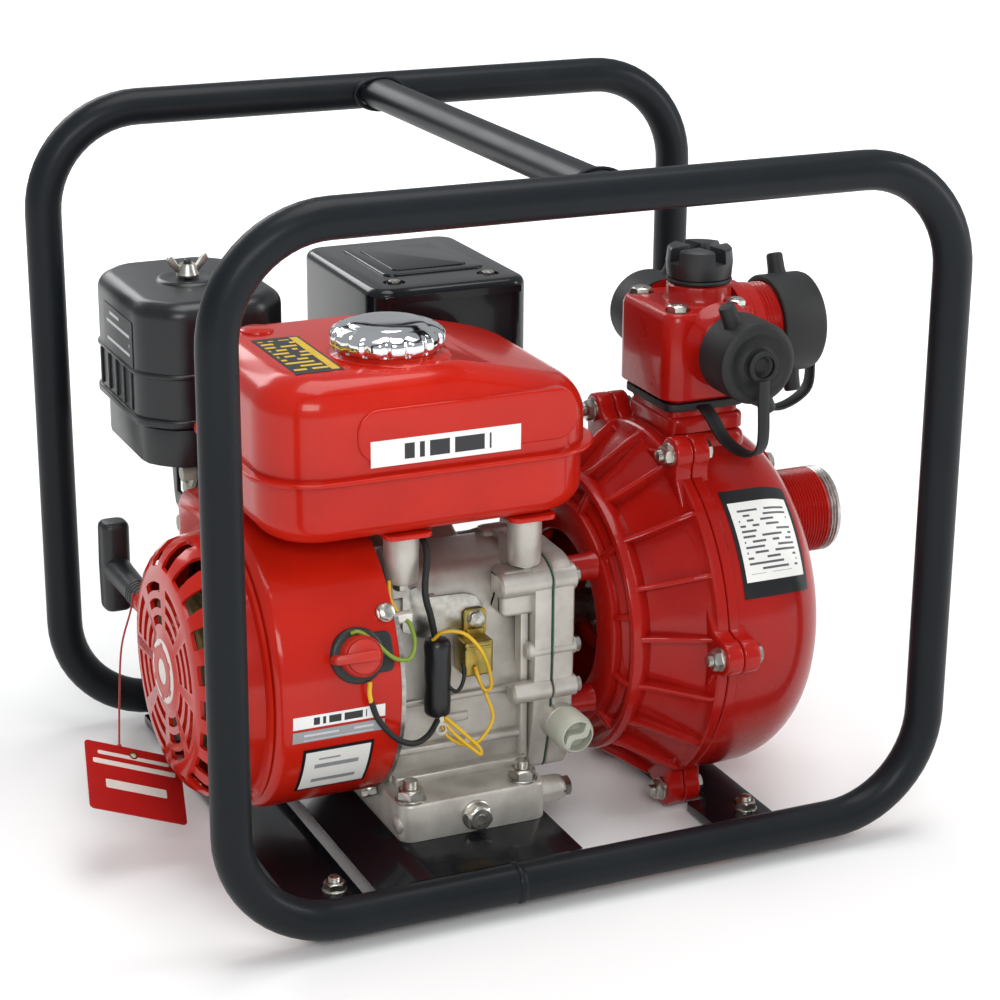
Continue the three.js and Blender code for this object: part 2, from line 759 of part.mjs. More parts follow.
const cleanerLeft = -217;
const cleanerRight = -108;
const cleanerFront = 97;
const cleanerBack = 242;
const cleanerBottom = 101;
const cleanerSplit = 128;
const cleanerTop = 218;
const carbV = 146;
const throatX = cylinderX - 78;
const cleanerX = (cleanerLeft + cleanerRight) / 2;
const cleanerV = (cleanerFront + cleanerBack) / 2;
function cleanerOutline(inset, chamfer) {
  const [left, right] = [cleanerLeft + inset, cleanerRight - inset];
  const [front, back] = [cleanerFront + inset, cleanerBack - inset];
  return [
    [left + chamfer, front], [right - chamfer, front], [right, front + chamfer], [right, back - chamfer],
    [right - chamfer, back], [left + chamfer, back], [left, back - chamfer], [left, front + chamfer],
  ];
}

function airCleanerBase() {
  const outer = prism('z', roundedShape(cleanerOutline(6, 20), 10), cleanerBottom, cleanerSplit, 0, 2);
  const inner = prism('z', plainShape(cleanerOutline(10, 20)), cleanerBottom + 4, cleanerSplit + 1);
  const stud = rod('z', 3, cleanerBottom + 1, cleanerTop + 12, cleanerX, cleanerV, 10);
  const inlet = rod('z', 13, cleanerBottom - 1, cleanerBottom + 6, throatX, carbV - 14, 16);
  return outer.subtract(inner).subtract(inlet).add(stud);
}

function airCleanerCover() {
  const low = cleanerSplit + gap;
  const outer = prism('z', roundedShape(cleanerOutline(0, 22), 12), low, cleanerTop, 10, 2);
  const inner = prism('z', plainShape(cleanerOutline(3, 24)), low - 1, cleanerTop - 12);
  return outer
    .subtract(inner)
    .subtract(rod('z', 3 + gap, low, cleanerTop + 1, cleanerX, cleanerV, 12));
}

function filterElement() {
  return tube('z', 48, 36, cleanerSplit + 2, cleanerTop - 16, cleanerX, cleanerV, 20);
}

function wingNut() {
  const low = cleanerTop + gap;
  const hub = rod('z', 7, low, low + 9, cleanerX, cleanerV, 12);
  const wings = block(cleanerX - 15, cleanerX + 15, cleanerV - 1.5, cleanerV + 1.5, low + 3, low + 15);
  const boreHole = rod('z', 3 + gap, low - 1, low + 20, cleanerX, cleanerV, 12);
  return hub.add(wings).subtract(boreHole);
}

function carburettor() {
  const body = block(cylinderX - 92, cylinderX - 45 - gap, carbV - 20, carbV + 20, 52, 88);
  const bowl = rod('z', 19, 24, 54, cylinderX - 70, carbV, 16);
  const throat = rod('z', 14, 85, cleanerBottom - gap, throatX, carbV - 14, 16);
  return joined([body, bowl, throat]);
}

const plateX = cylinderX - 112;
function controlPlate() {
  const top = cleanerBottom - 4;
  const outline = [[carbV - 26, 40], [carbV + 38, 48], [carbV + 44, 84], [carbV + 30, top], [carbV - 30, top]];
  const face = prism('x', roundedShape(outline, 8), plateX - 3, plateX, 0, 2);
  const tab = block(plateX - 3, cylinderX - 92 - gap, carbV - 10, carbV + 16, 68, 88);
  const window = block(plateX - 4, plateX + 1, carbV + 18, carbV + 32, 60, 82);
  return face.add(tab).subtract(window);
}

function lever(v, w, length, angle, from) {
  const arm = prism('x', roundedShape(rectangle(-5, 5, -5, length), 5), from, from + 3, 0, 2);
  const knob = rod('x', 6, from - 8, from + 1, 0, length - 6, 12);
  const hub = rod('x', 5.5, from - 2, from + 3, 0, 0, 12);
  return joined([arm, knob, hub]).rotate([angle, 0, 0]).translate([0, v, w]);
}

// ---- small engine fittings ----
function oilUnit() {
  const box = prism('x', roundedShape(rectangle(-73, -54, -7, 17), 4), -58, -37, 0, 2);
  const tab = block(-51, -35, -57, -54, 14, 34);
  return box.add(tab);
}

function dipstickCap() {
  const face = -78 - gap;
  const cap = rod('y', 13.5, face - 18, face, dipstickX, dipstickW, 20);
  const grip = block(dipstickX - 12, dipstickX + 12, face - 22, face - 17, dipstickW - 2.5, dipstickW + 2.5);
  return joined([cap, grip, rod('y', 4.6, face - 1, face + 20, dipstickX, dipstickW, 16)]);
}

function drainBolt() {
  const head = rod('y', 8, -105, -97 - gap, -60, caseBase + 12, 6);
  return head.add(rod('y', 11, -99.5, -97 - gap, -60, caseBase + 12, 16));
}

piece(powerGroup, 'crankcase', crankcase(), 'cast');
piece(powerGroup, 'side_cover_gasket', caseGasket(), 'green');
piece(powerGroup, 'side_cover', sideCover(), 'cast');
piece(powerGroup, 'main_bearing_left', bearing(caseLeft + wall + gap), 'steel');
piece(powerGroup, 'main_bearing_right', bearing(gasketX + gasketThickness + 2 * gap - gap), 'steel');
piece(powerGroup, 'cylinder_head', cylinderHead(), 'cast');
piece(powerGroup, 'rocker_cover', rockerCover(), 'black');
piece(powerGroup, 'spark_plug', sparkPlug(), 'rubber');
piece(powerGroup, 'crankshaft', crankshaft(), 'steel');
piece(powerGroup, 'flywheel', flywheel(), 'cast');
piece(powerGroup, 'starter_cup', starterCup(), 'steel');
piece(powerGroup, 'piston', piston(), 'cast');
piece(powerGroup, 'fan_shroud', fanShroud(), 'red');
piece(powerGroup, 'recoil_cover', recoilCover(), 'red');
piece(powerGroup, 'recoil_reel', recoilReel(), 'plastic');
piece(powerGroup, 'starter_handle', starterHandle(), 'plastic');
piece(powerGroup, 'starter_rope', starterRope(), 'rubber');
piece(powerGroup, 'engine_switch_plate', switchPlate(), 'plastic');
piece(powerGroup, 'engine_switch_knob', switchKnob(), 'red');
piece(powerGroup, 'fuel_tank', fuelTank(), 'red');
piece(powerGroup, 'fuel_cap', fuelCap(), 'chrome');
piece(powerGroup, 'muffler', muffler(), 'steel');
piece(powerGroup, 'muffler_guard', mufflerGuard(), 'black');
piece(powerGroup, 'air_cleaner_base', airCleanerBase(), 'plastic');
piece(powerGroup, 'air_cleaner_cover', airCleanerCover(), 'plastic');
piece(powerGroup, 'air_filter', filterElement(), 'rubber');
piece(powerGroup, 'air_cleaner_wing_nut', wingNut(), 'steel');
piece(powerGroup, 'carburettor', carburettor(), 'cast');
piece(powerGroup, 'control_plate', controlPlate(), 'plastic');
const leverFrom = plateX - 3 - gap - 3;
piece(powerGroup, 'choke_lever', lever(carbV - 4, 74, 26, 40, leverFrom), 'plastic');
piece(powerGroup, 'fuel_lever', lever(carbV + 6, 56, 20, 120, leverFrom), 'plastic');
piece(powerGroup, 'oil_level_unit', oilUnit(), 'gold');
piece(powerGroup, 'ignition_sleeve', rod('z', 9, -30, 24, -77, -72, 14), 'plastic');
piece(powerGroup, 'wire_black', wire([
  [-84, -50, 96], [-82, -66, 84], [-88, -78, 60], [-84, -78, 42], [-77, -72, 24 + gap + 2],
]), 'rubber');
piece(powerGroup, 'wire_yellow', wire([
  [-77, -72, -30 - gap - 2], [-72, -80, -44], [-56, -84, -50], [-42, -82, -36], [-44, -76, -20],
  [-47, -64, -7 - gap - 2],
]), 'yellow');
piece(powerGroup, 'dipstick', dipstickCap(), 'grey');
piece(powerGroup, 'oil_drain_bolt', drainBolt(), 'steel');

// ---- pump ----
function pumpEars(from, to) {
  return pumpBoltAngles.map((angle) => {
    const turn = THREE.MathUtils.degToRad(angle);
    const v = -Math.sin(turn) * pumpBoltRadius;
    const w = Math.cos(turn) * pumpBoltRadius;
    return rod('x', earRadius, from, to, v, w, 12);
  });
}

function pumpRearHousing() {
  const flange = splitX - gap;
  const inner = pumpRadius - pumpWall;
  const bell = 84; // radius where the housing leaves the ring
  const spread = pumpRadius - bell;
  const shell = turned('x', [
    [52, 70], [52, bell], [74, bell + spread / 3], [96, pumpRadius - 8], [flange - 8, pumpRadius],
    [flange, pumpRadius],
    [flange, inner], [94, inner - 6], [88, inner - 16], [88, sealRadius], [70, sealRadius], [70, 32], [80, 40],
    [80, 88], [62, 70], [52, 70],
  ], 0, 0, 28);
  const legs = [45, 135, 225, 315].map((angle) => {
    const turn = THREE.MathUtils.degToRad(angle);
    return rod('x', 9, coverFace + 2 + gap, 60, 68 * Math.cos(turn), 68 * Math.sin(turn), 12);
  });
  const ring = tube('x', 80, 56, 46, 54, 0, 0, 28);
  const legGap = rod('x', 90, 0, coverFace + 2 + gap, 0, 0, 12);
  return joined([shell, ring, ...legs, ...pumpEars(flange - earThickness, flange)])
    .subtract(rod('x', inner, flange - 1, flange + 1, 0, 0, 28))
    .subtract(legGap);
}

function pumpCover() {
  const start = splitX + gap;
  const inner = pumpRadius - pumpWall;
  const shell = turned('x', [
    [start, inner], [start, pumpRadius], [start + 12, pumpRadius], [158, pumpRadius - 2],
    [178, pumpRadius - 10], [190, pumpRadius - 24], [pumpFrontX, pumpRadius - 42], [pumpFrontX, 0],
    [pumpFrontX - pumpWall, 0], [pumpFrontX - pumpWall, pumpRadius - 46],
    [181, inner - 21], [170, inner - 9], [150, inner - 2], [start, inner],
  ], 0, 0, 28);
  const neckFront = manifoldFront + 8;
  const neckBack = manifoldBack - 8;
  const neckTop = manifoldBottom - gap;
  const neck = block(splitX + gap, manifoldRight - 8, neckFront, neckBack, pumpRadius - 46, neckTop);
  const passageLow = pumpRadius - 56;
  const passage = block(splitX + 10, manifoldRight - 18, neckFront + 10, neckBack - 10, passageLow, neckTop + 1);
  const hollow = rod('x', inner - 3, splitX, 150, 0, 0, 28);
  return joined([shell, neck, ...pumpEars(start, start + earThickness)])
    .subtract(hollow)
    .subtract(passage)
    .subtract(rod('x', suctionBore, pumpFrontX - 20, pumpFrontX + 1, 0, suctionW, 24));
}

function mechanicalSeal() {
  return tube('x', sealRadius - 2 * gap, shaftRadius + gap, 74, 87, 0, 0, runningSides);
}

function impeller() {
  const hub = rod('x', 20, 106, 146, 0, 0, 20);
  const disc = rod('x', impellerRadius, 112, 116, 0, 0, 28);
  const vanes = [];
  const vaneCount = 6;
  for (let i = 0; i < vaneCount; i += 1) {
    const vane = prism('x', plainShape([[-2, 16], [2, 16], [20, 50], [42, 70], [38, 72], [15, 52]]), 115, 132);
    vanes.push(vane.rotate([360 * i / vaneCount, 0, 0]));
  }
  return joined([hub, disc, ...vanes]).subtract(rod('x', shaftRadius + gap, 100, 133, 0, 0, 20));
}

function suctionPort() {
  const start = pumpFrontX + gap;
  const plate = rod('x', suctionRadius + 10, start, start + 8, 0, suctionW, 28);
  const lugs = [90, 210, 330].map((angle) => {
    const turn = THREE.MathUtils.degToRad(angle);
    const v = Math.cos(turn) * (suctionRadius + 9);
    const w = suctionW + Math.sin(turn) * (suctionRadius + 9);
    return rod('x', 9, start, start + 8, v, w, 12);
  });
  const spigot = rod('x', suctionRadius, start + 7, suctionEnd, 0, suctionW, 32);
  return joined([plate, ...lugs, spigot])
    .subtract(rod('x', suctionBore, start - 1, suctionEnd + 1, 0, suctionW, 24));
}

const fillerX = 143;
const fillerV = -7;
const fillerNeck = 12;
const fillerBore = 17;
function dischargeManifold() {
  const left = manifoldX - manifoldWidth / 2;
  const outline = roundedShape(rectangle(left, manifoldRight, manifoldFront, manifoldBack), 12);
  const box = prism('z', outline, manifoldBottom, manifoldTop, 0, 3);
  const front = rod('y', smallOutletRadius, manifoldFront - 30, manifoldFront + 5, manifoldX + 6, outletW, 20);
  const back = rod('y', smallOutletRadius, manifoldBack - 5, manifoldBack + 20, manifoldX + 6, outletW, 20);
  const right = rod('x', largeOutletRadius, manifoldRight - 5, manifoldRight + 40, manifoldV, outletW, 24);
  const filler = rod('z', fillerBore + 5, manifoldTop - 1, manifoldTop + fillerNeck, fillerX, fillerV, 20);
  const room = block(left + 8, manifoldRight - 8, manifoldFront + 8, manifoldBack - 8,
    manifoldBottom + 8, manifoldTop - 8);
  const throat = block(left + 16, manifoldRight - 18, manifoldFront + 18, manifoldBack - 18,
    manifoldBottom - 1, manifoldBottom + 9);
  const smallBore = smallOutletRadius - outletWall;
  return joined([box, front, back, right, filler])
    .subtract(room)
    .subtract(throat)
    .subtract(rod('y', smallBore, manifoldFront - 31, manifoldBack + 31, manifoldX + 6, outletW, 20))
    .subtract(rod('x', largeOutletRadius - outletWall, manifoldX, manifoldRight + 45, manifoldV, outletW, 24))
    .subtract(rod('z', fillerBore, manifoldTop - 9, manifoldTop + 14, fillerX, fillerV, 20));
}

// A screw cap drawn along +Y: a cup with two grip lugs and a centre button.
function screwCap(outletRadius, depth, lugTurn) {
  const inner = outletRadius + capRun;
  const outer = inner + capWall;
  const cup = turned('y', [
    [0, inner], [0, outer], [depth - 2, outer], [depth, outer - 3], [depth, 9], [depth + 3, 9],
    [depth + 3, 0], [depth - 5, 0], [depth - 5, inner], [0, inner],
  ], 0, 0, 24);
  const lugs = [0, 180].map((angle) => rod('z', 6, outer - 2, outer + 14, 0, depth / 2, 10)
    .rotate([0, angle + lugTurn, 0]));
  return joined([cup, ...lugs]);
}

function primingCap() {
  const low = manifoldTop + fillerNeck + gap;
  const body = turned('z', [
    [low - 10, 0], [low - 10, fillerBore - 0.8], [low, fillerBore - 0.8], [low, 22], [low + 14, 23],
    [low + 24, 22], [low + 24, 0],
  ], fillerX, fillerV, 20);
  const slotA = block(fillerX - 25, fillerX + 25, fillerV - 4, fillerV + 4, low + 15, low + 30);
  const slotB = block(fillerX - 4, fillerX + 4, fillerV - 25, fillerV + 25, low + 15, low + 30);
  return body.subtract(slotA).subtract(slotB);
}

const smallCapDepth = 33;
const largeCapDepth = 34;
const frontCapReach = 51; // cap face from the manifold's wall
const rearCapReach = 38;
const largeCapReach = 59;
function capStraps() {
  const low = manifoldBottom - 9;
  const outer = block(splitX + gap - 4, manifoldRight - 4.5, manifoldFront + 4, manifoldBack - 4, low, low + 6);
  const inner = block(splitX, manifoldRight - 8 + gap, manifoldFront + 8 - gap, manifoldBack - 8 + gap,
    low - 1, low + 7);
  const x = manifoldX + 6;
  const frontFace = manifoldFront - frontCapReach - 3 - gap;
  const backFace = manifoldBack + rearCapReach + 3 + gap;
  const rightFace = manifoldRight + largeCapReach + 3 + gap;
  const front = ribbon([
    [x - 10, manifoldFront + 5, low + 3], [x - 10, manifoldFront - 6, low - 1], [x - 7, manifoldFront - 22, low - 14],
    [x - 3, manifoldFront - 44, low - 18], [x, frontFace - 4, low - 8], [x, frontFace - 3.5, outletW - 20],
    [x, frontFace - 3, outletW + 5],
  ], 10, 3);
  const back = ribbon([
    [x - 10, manifoldBack - 5, low + 3], [x - 10, manifoldBack + 6, low - 1], [x - 7, manifoldBack + 18, low - 14],
    [x - 3, manifoldBack + 32, low - 18], [x, backFace + 4, low - 8], [x, backFace + 3.5, outletW - 20],
    [x, backFace + 3, outletW + 5],
  ], 10, 3);
  const right = ribbon([
    [manifoldRight - 5, manifoldV - 4, low + 3], [manifoldRight + 10, manifoldV - 4, low - 6],
    [manifoldRight + 38, manifoldV - 2, low - 16], [rightFace, manifoldV, low - 6],
    [rightFace + 3, manifoldV, outletW - 30], [rightFace + 2, manifoldV, outletW + 5],
  ], 10, 3);
  return joined([outer.subtract(inner), front, back, right]);
}

piece(powerGroup, 'pump_rear_housing', pumpRearHousing(), 'pumpRed');
piece(powerGroup, 'pump_cover', pumpCover(), 'pumpRed');
piece(powerGroup, 'mechanical_seal', mechanicalSeal(), 'steel');
piece(powerGroup, 'impeller', impeller(), 'cast');
piece(powerGroup, 'suction_port', suctionPort(), 'pumpRed');
piece(powerGroup, 'discharge_manifold', dischargeManifold(), 'pumpRed');
piece(powerGroup, 'priming_cap', primingCap(), 'plastic');
const smallCap = screwCap(smallOutletRadius, smallCapDepth, 25);
const largeCap = screwCap(largeOutletRadius, largeCapDepth, 20);
piece(powerGroup, 'outlet_cap_front', smallCap.rotate([0, 0, 180])
  .translate([manifoldX + 6, manifoldFront - frontCapReach + smallCapDepth, outletW]), 'plastic');
piece(powerGroup, 'outlet_cap_rear', smallCap
  .translate([manifoldX + 6, manifoldBack + rearCapReach - smallCapDepth, outletW]), 'plastic');
piece(powerGroup, 'outlet_cap_side', largeCap.rotate([0, 0, -90])
  .translate([manifoldRight + largeCapReach - largeCapDepth, manifoldV, outletW]), 'plastic');
piece(powerGroup, 'cap_straps', capStraps(), 'rubber');

// ---- hang tag on its string ----
const stringPoints = [
  [reelX - 9.5, 94, 20], [reelX - 12, 93, 8], [reelX - 22, 84, -14], [reelX - 31, 62, -42], [reelX - 38, 42, -67],
];
// A card on a tilted plane: one edge runs right and down, the other to the front and down.
function hangTag() {
  const across = new THREE.Vector3(0.93, 0, -0.37);
  const along = new THREE.Vector3(-0.2, -0.86, -0.47);
  const normal = new THREE.Vector3().crossVectors(across, along).normalize();
  along.crossVectors(normal, across).normalize();
  const card = new THREE.BoxGeometry(70, 56, 0.8);
  card.applyMatrix4(new THREE.Matrix4().makeBasis(across.normalize(), along, normal));
  card.translate(reelX - 35.5, 14, -82);
  return solidOf(card);
}
piece(powerGroup, 'hang_tag', hangTag(), 'red');
piece(powerGroup, 'tag_string', wire(stringPoints, 0.7, 12), 'red');

const group = new THREE.Group();
group.add(frameGroup, powerGroup);

export default group;
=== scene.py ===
import json
import math
import random

import bmesh
import bpy
from mathutils import Matrix, Vector

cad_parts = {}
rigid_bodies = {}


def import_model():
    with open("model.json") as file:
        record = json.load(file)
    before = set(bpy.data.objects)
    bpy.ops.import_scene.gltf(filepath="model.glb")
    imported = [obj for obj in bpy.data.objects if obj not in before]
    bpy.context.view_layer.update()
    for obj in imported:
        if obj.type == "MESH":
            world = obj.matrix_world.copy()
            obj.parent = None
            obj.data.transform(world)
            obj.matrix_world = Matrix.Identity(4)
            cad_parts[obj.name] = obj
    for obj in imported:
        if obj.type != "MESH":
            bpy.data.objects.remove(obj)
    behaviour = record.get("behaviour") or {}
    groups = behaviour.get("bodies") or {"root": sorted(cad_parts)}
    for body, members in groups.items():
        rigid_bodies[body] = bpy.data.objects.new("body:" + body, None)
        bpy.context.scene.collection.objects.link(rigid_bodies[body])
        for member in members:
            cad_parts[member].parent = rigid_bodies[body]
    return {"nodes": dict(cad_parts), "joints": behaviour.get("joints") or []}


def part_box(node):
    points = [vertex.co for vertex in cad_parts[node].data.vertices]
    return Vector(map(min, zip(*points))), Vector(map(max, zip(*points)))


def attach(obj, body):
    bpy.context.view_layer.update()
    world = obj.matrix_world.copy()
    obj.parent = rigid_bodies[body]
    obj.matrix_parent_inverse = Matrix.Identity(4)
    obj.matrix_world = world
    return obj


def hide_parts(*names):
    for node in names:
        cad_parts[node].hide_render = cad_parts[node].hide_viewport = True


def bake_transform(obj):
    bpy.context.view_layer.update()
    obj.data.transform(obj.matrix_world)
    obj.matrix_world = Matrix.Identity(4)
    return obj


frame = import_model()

# the start-up scene's own objects go first, so that they aren't measured
for left in [o for o in bpy.data.objects if o.name in ("Cube", "Light", "Camera")]:
    bpy.data.objects.remove(left)
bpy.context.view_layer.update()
random.seed(7)

# Pieces are drawn in millimetres about the crank axis (x along it, v to the back, w up)
# and settle() turns them into metres in the part's own frame.
crank = Vector(next(j for j in frame["joints"] if j["name"] == "crank_spin")["pos_m"])
tau = 2 * math.pi


def local(point):
    return (Vector(point) - crank) * 1000


def localBox(node):
    low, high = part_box(node)
    return local(low), local(high)


# camera, floor and light
studio = {
    "cameraPlace": (-0.672, -1.527, 0.781),
    "yaw": 24.27,
    "pitch": 18.87,
    "roll": 0.38,
    "lens": 91.87,
    "floorColour": "#f4f4f3",
    "worldColour": "#eef1f4",
    "worldStrength": 0.5,
    # painted light: the floor glows between these distances from the pump, up to this emission strength
    "floorGlowFrom": 0.55,
    "floorGlowTo": 2.2,
    "floorGlow": 0.75,
    "floorSize": 14,
    # name, place, width, height, power in watts
    "softboxes": [
        ("front_left", (-0.9, -2.3, 1.5), 1.3, 0.8, 28),
        ("overhead", (0.1, -0.1, 2.2), 1.6, 1.2, 26),
        ("right_side", (2.0, -0.9, 1.0), 0.5, 1.5, 16),
        ("rear", (-0.5, 2.0, 1.4), 1.4, 0.8, 18),
    ],
    "lampAim": (0, 0, 0.2),
}


def linear(hexColour):
    parts = [int(hexColour[i:i + 2], 16) / 255 for i in (1, 3, 5)]
    return [c / 12.92 if c < 0.04045 else ((c + 0.055) / 1.055) ** 2.4 for c in parts] + [1.0]


def addNode(material, kind, settings=None, links=None):
    node = material.node_tree.nodes.new(kind)
    for key, value in (settings or {}).items():
        if isinstance(key, int) or key in node.inputs:
            node.inputs[key].default_value = value
        else:
            setattr(node, key, value)
    for key, source in (links or {}).items():
        material.node_tree.links.new(source, node.inputs[key])
    return node


def makeStudio():
    camera = bpy.data.objects.new("camera", bpy.data.cameras.new("camera"))
    bpy.context.scene.collection.objects.link(camera)
    camera.data.lens = studio["lens"]
    camera.data.sensor_width = 36
    camera.data.clip_start = 0.05
    turn = Matrix.Rotation(math.radians(-studio["yaw"]), 4, "Z")
    tilt = Matrix.Rotation(math.radians(90 - studio["pitch"]), 4, "X")
    lean = Matrix.Rotation(math.radians(studio["roll"]), 4, "Z")
    camera.matrix_world = Matrix.Translation(studio["cameraPlace"]) @ turn @ tilt @ lean
    bpy.context.scene.camera = camera
    bpy.context.scene.view_settings.view_transform = "Standard"

    world = bpy.data.worlds.new("studio")
    bpy.context.scene.world = world
    world.use_nodes = True
    background = world.node_tree.nodes["Background"]
    background.inputs["Color"].default_value = linear(studio["worldColour"])
    background.inputs["Strength"].default_value = studio["worldStrength"]

    for name, place, width, height, power in studio["softboxes"]:
        lamp = bpy.data.objects.new("light_" + name, bpy.data.lights.new(name, "AREA"))
        bpy.context.scene.collection.objects.link(lamp)
        lamp.data.shape = "RECTANGLE"
        lamp.data.size = width
        lamp.data.size_y = height
        lamp.data.energy = power
        lamp.location = place
        aim = Vector(studio["lampAim"]) - lamp.location
        lamp.rotation_euler = aim.to_track_quat("-Z", "Y").to_euler()

    bpy.ops.object.select_all(action="DESELECT")
    bpy.ops.mesh.primitive_grid_add(x_subdivisions=8, y_subdivisions=8, size=studio["floorSize"])
    floor = bpy.context.object
    floor.name = "floor"
    paper = bpy.data.materials.new("matt_studio_paper")
    paper.use_nodes = True
    shader = paper.node_tree.nodes["Principled BSDF"]
    shader.inputs["Base Color"].default_value = linear(studio["floorColour"])
    shader.inputs["Roughness"].default_value = 0.9
    # painted light: the paper glows more the farther it is from the pump, standing in for a studio sweep lit
    # from behind
    place = addNode(paper, "ShaderNodeTexCoord")
    reach = addNode(paper, "ShaderNodeVectorMath", {"operation": "LENGTH"}, {0: place.outputs["Object"]})
    glow = addNode(paper, "ShaderNodeMapRange",
                   {"From Min": studio["floorGlowFrom"], "From Max": studio["floorGlowTo"],
                    "To Min": 0.0, "To Max": studio["floorGlow"]}, {"Value": reach.outputs["Value"]})
    shader.inputs["Emission Color"].default_value = (1, 1, 1, 1)
    paper.node_tree.links.new(glow.outputs["Result"], shader.inputs["Emission Strength"])
    floor.data.materials.append(paper)
    print("studio ready")


makeStudio()

# the tag's string, a free cord
stringPlace = {
    # the same route as the solid model's string, in metres
    "points": [
        (-0.232, 0.056, 0.157), (-0.2345, 0.055, 0.145), (-0.2445, 0.046, 0.123),
        (-0.2535, 0.024, 0.095), (-0.2605, 0.004, 0.070),
    ],
    "thickness": 0.0014,
}


def smoothLine(points, perSpan=6):
    # Catmull-Rom through the points
    result = []
    ends = [2 * Vector(points[0]) - Vector(points[1])]
    ends += [Vector(p) for p in points]
    ends.append(2 * Vector(points[-1]) - Vector(points[-2]))
    for i in range(1, len(ends) - 2):
        a, b, c, d = ends[i - 1:i + 3]
        for step in range(perSpan):
            t = step / perSpan
            result.append(0.5 * (2 * b + (c - a) * t + (2 * a - 5 * b + 4 * c - d) * t * t
                                 + (3 * b - a - 3 * c + d) * t ** 3))
    result.append(ends[-2])
    return result


# materials
def newMaterial(name, hexColour, metallic, roughness):
    material = bpy.data.materials.new(name)
    material.use_nodes = True
    shader = material.node_tree.nodes["Principled BSDF"]
    shader.inputs["Base Color"].default_value = linear(hexColour)
    shader.inputs["Metallic"].default_value = metallic
    shader.inputs["Roughness"].default_value = roughness
    place = addNode(material, "ShaderNodeTexCoord")
    return material, shader, place.outputs["Object"]


def mottle(material, shader, place, light, dark, patchMm, roughness=None):
    # colour drifts between two close shades over patches of a given size
    noise = addNode(material, "ShaderNodeTexNoise", {"Scale": 1000 / patchMm, "Detail": 4.0},
                    {"Vector": place})
    shades = addNode(material, "ShaderNodeValToRGB", None, {"Fac": noise.outputs["Fac"]})
    shades.color_ramp.elements[0].position = 0.32
    shades.color_ramp.elements[1].position = 0.68
    shades.color_ramp.elements[0].color = linear(dark)
    shades.color_ramp.elements[1].color = linear(light)
    material.node_tree.links.new(shades.outputs["Color"], shader.inputs["Base Color"])
    if roughness:
        spread = addNode(material, "ShaderNodeMapRange",
                         {"To Min": roughness[0], "To Max": roughness[1]}, {"Value": noise.outputs["Fac"]})
        material.node_tree.links.new(spread.outputs["Result"], shader.inputs["Roughness"])
    return shades


def grain(material, shader, place, grainMm, depthMm, detail=2.0, strength=1.0):
    noise = addNode(material, "ShaderNodeTexNoise", {"Scale": 1000 / grainMm, "Detail": detail},
                    {"Vector": place})
    bump = addNode(material, "ShaderNodeBump", {"Strength": strength, "Distance": depthMm / 1000},
                   {"Height": noise.outputs["Fac"]})
    material.node_tree.links.new(bump.outputs["Normal"], shader.inputs["Normal"])
    return bump


def bakedEnamel(name, light, dark, roughness, peelMm, peelDepth, coat, sheen=0.16):
    # stoved paint: even colour, a clear skin over it and the slight ripple of orange peel
    material, shader, place = newMaterial(name, light, 0.0, roughness)
    mottle(material, shader, place, light, dark, 60, (roughness * 0.8, roughness * 1.25))
    grain(material, shader, place, peelMm, peelDepth)
    shader.inputs["Specular IOR Level"].default_value = sheen
    shader.inputs["Coat Weight"].default_value = coat
    shader.inputs["Coat Roughness"].default_value = 0.08
    return material


def castMetal(name, light, dark, roughness, grainMm, depthMm, metallic=0.85):
    # poured metal with a sand-blasted skin: soft grey, broken highlights
    material, shader, place = newMaterial(name, light, metallic, roughness)
    mottle(material, shader, place, light, dark, 18, (roughness - 0.08, roughness + 0.12))
    grain(material, shader, place, grainMm, depthMm, 3.0)
    return material


def platedSteel(name, light, dark, roughness, patchMm=6):
    # turned or pressed steel with a thin plated skin: bright, with a faint cloudiness
    material, shader, place = newMaterial(name, light, 1.0, roughness)
    mottle(material, shader, place, light, dark, patchMm, (roughness * 0.8, roughness * 1.5))
    grain(material, shader, place, 1.2, 0.01)
    return material


def mouldedPlastic(name, light, dark, roughness, grainMm, depthMm):
    # injection moulded, spark-eroded tool surface: an even fine grain
    material, shader, place = newMaterial(name, light, 0.0, roughness)
    mottle(material, shader, place, light, dark, 25, (roughness * 0.9, roughness * 1.15))
    grain(material, shader, place, grainMm, depthMm, 1.0)
    return material


def paperGasket():
    # pressed fibre sheet, fuzzy at its cut edge
    material, shader, place = newMaterial("pressed_fibre_gasket", "#1c4a38", 0.0, 0.85)
    mottle(material, shader, place, "#24563f", "#153a2c", 3)
    return material


def openFoam():
    # open-cell filter foam: coarse pores
    material, shader, place = newMaterial("open_cell_foam", "#3a3a3a", 0.0, 0.95)
    pores = addNode(material, "ShaderNodeTexVoronoi", {"Scale": 1000 / 2.5}, {"Vector": place})
    bump = addNode(material, "ShaderNodeBump", {"Strength": 1.0, "Distance": 0.001},
                   {"Height": pores.outputs["Distance"]})
    material.node_tree.links.new(bump.outputs["Normal"], shader.inputs["Normal"])
    mottle(material, shader, place, "#454545", "#2c2c2c", 5)
    return material


def twistedCord(name, light, dark, pitchMm):
    # laid yarn: bands that climb round the cord
    material, shader, place = newMaterial(name, light, 0.0, 0.8)
    bands = addNode(material, "ShaderNodeTexWave",
                    {"Scale": 1000 / pitchMm / tau, "Distortion": 0.4, "bands_direction": "DIAGONAL"},
                    {"Vector": place})
    bump = addNode(material, "ShaderNodeBump", {"Strength": 0.7, "Distance": 0.0003},
                   {"Height": bands.outputs["Fac"]})
    material.node_tree.links.new(bump.outputs["Normal"], shader.inputs["Normal"])
    mottle(material, shader, place, light, dark, 4)
    shader.inputs["Sheen Weight"].default_value = 0.3
    return material


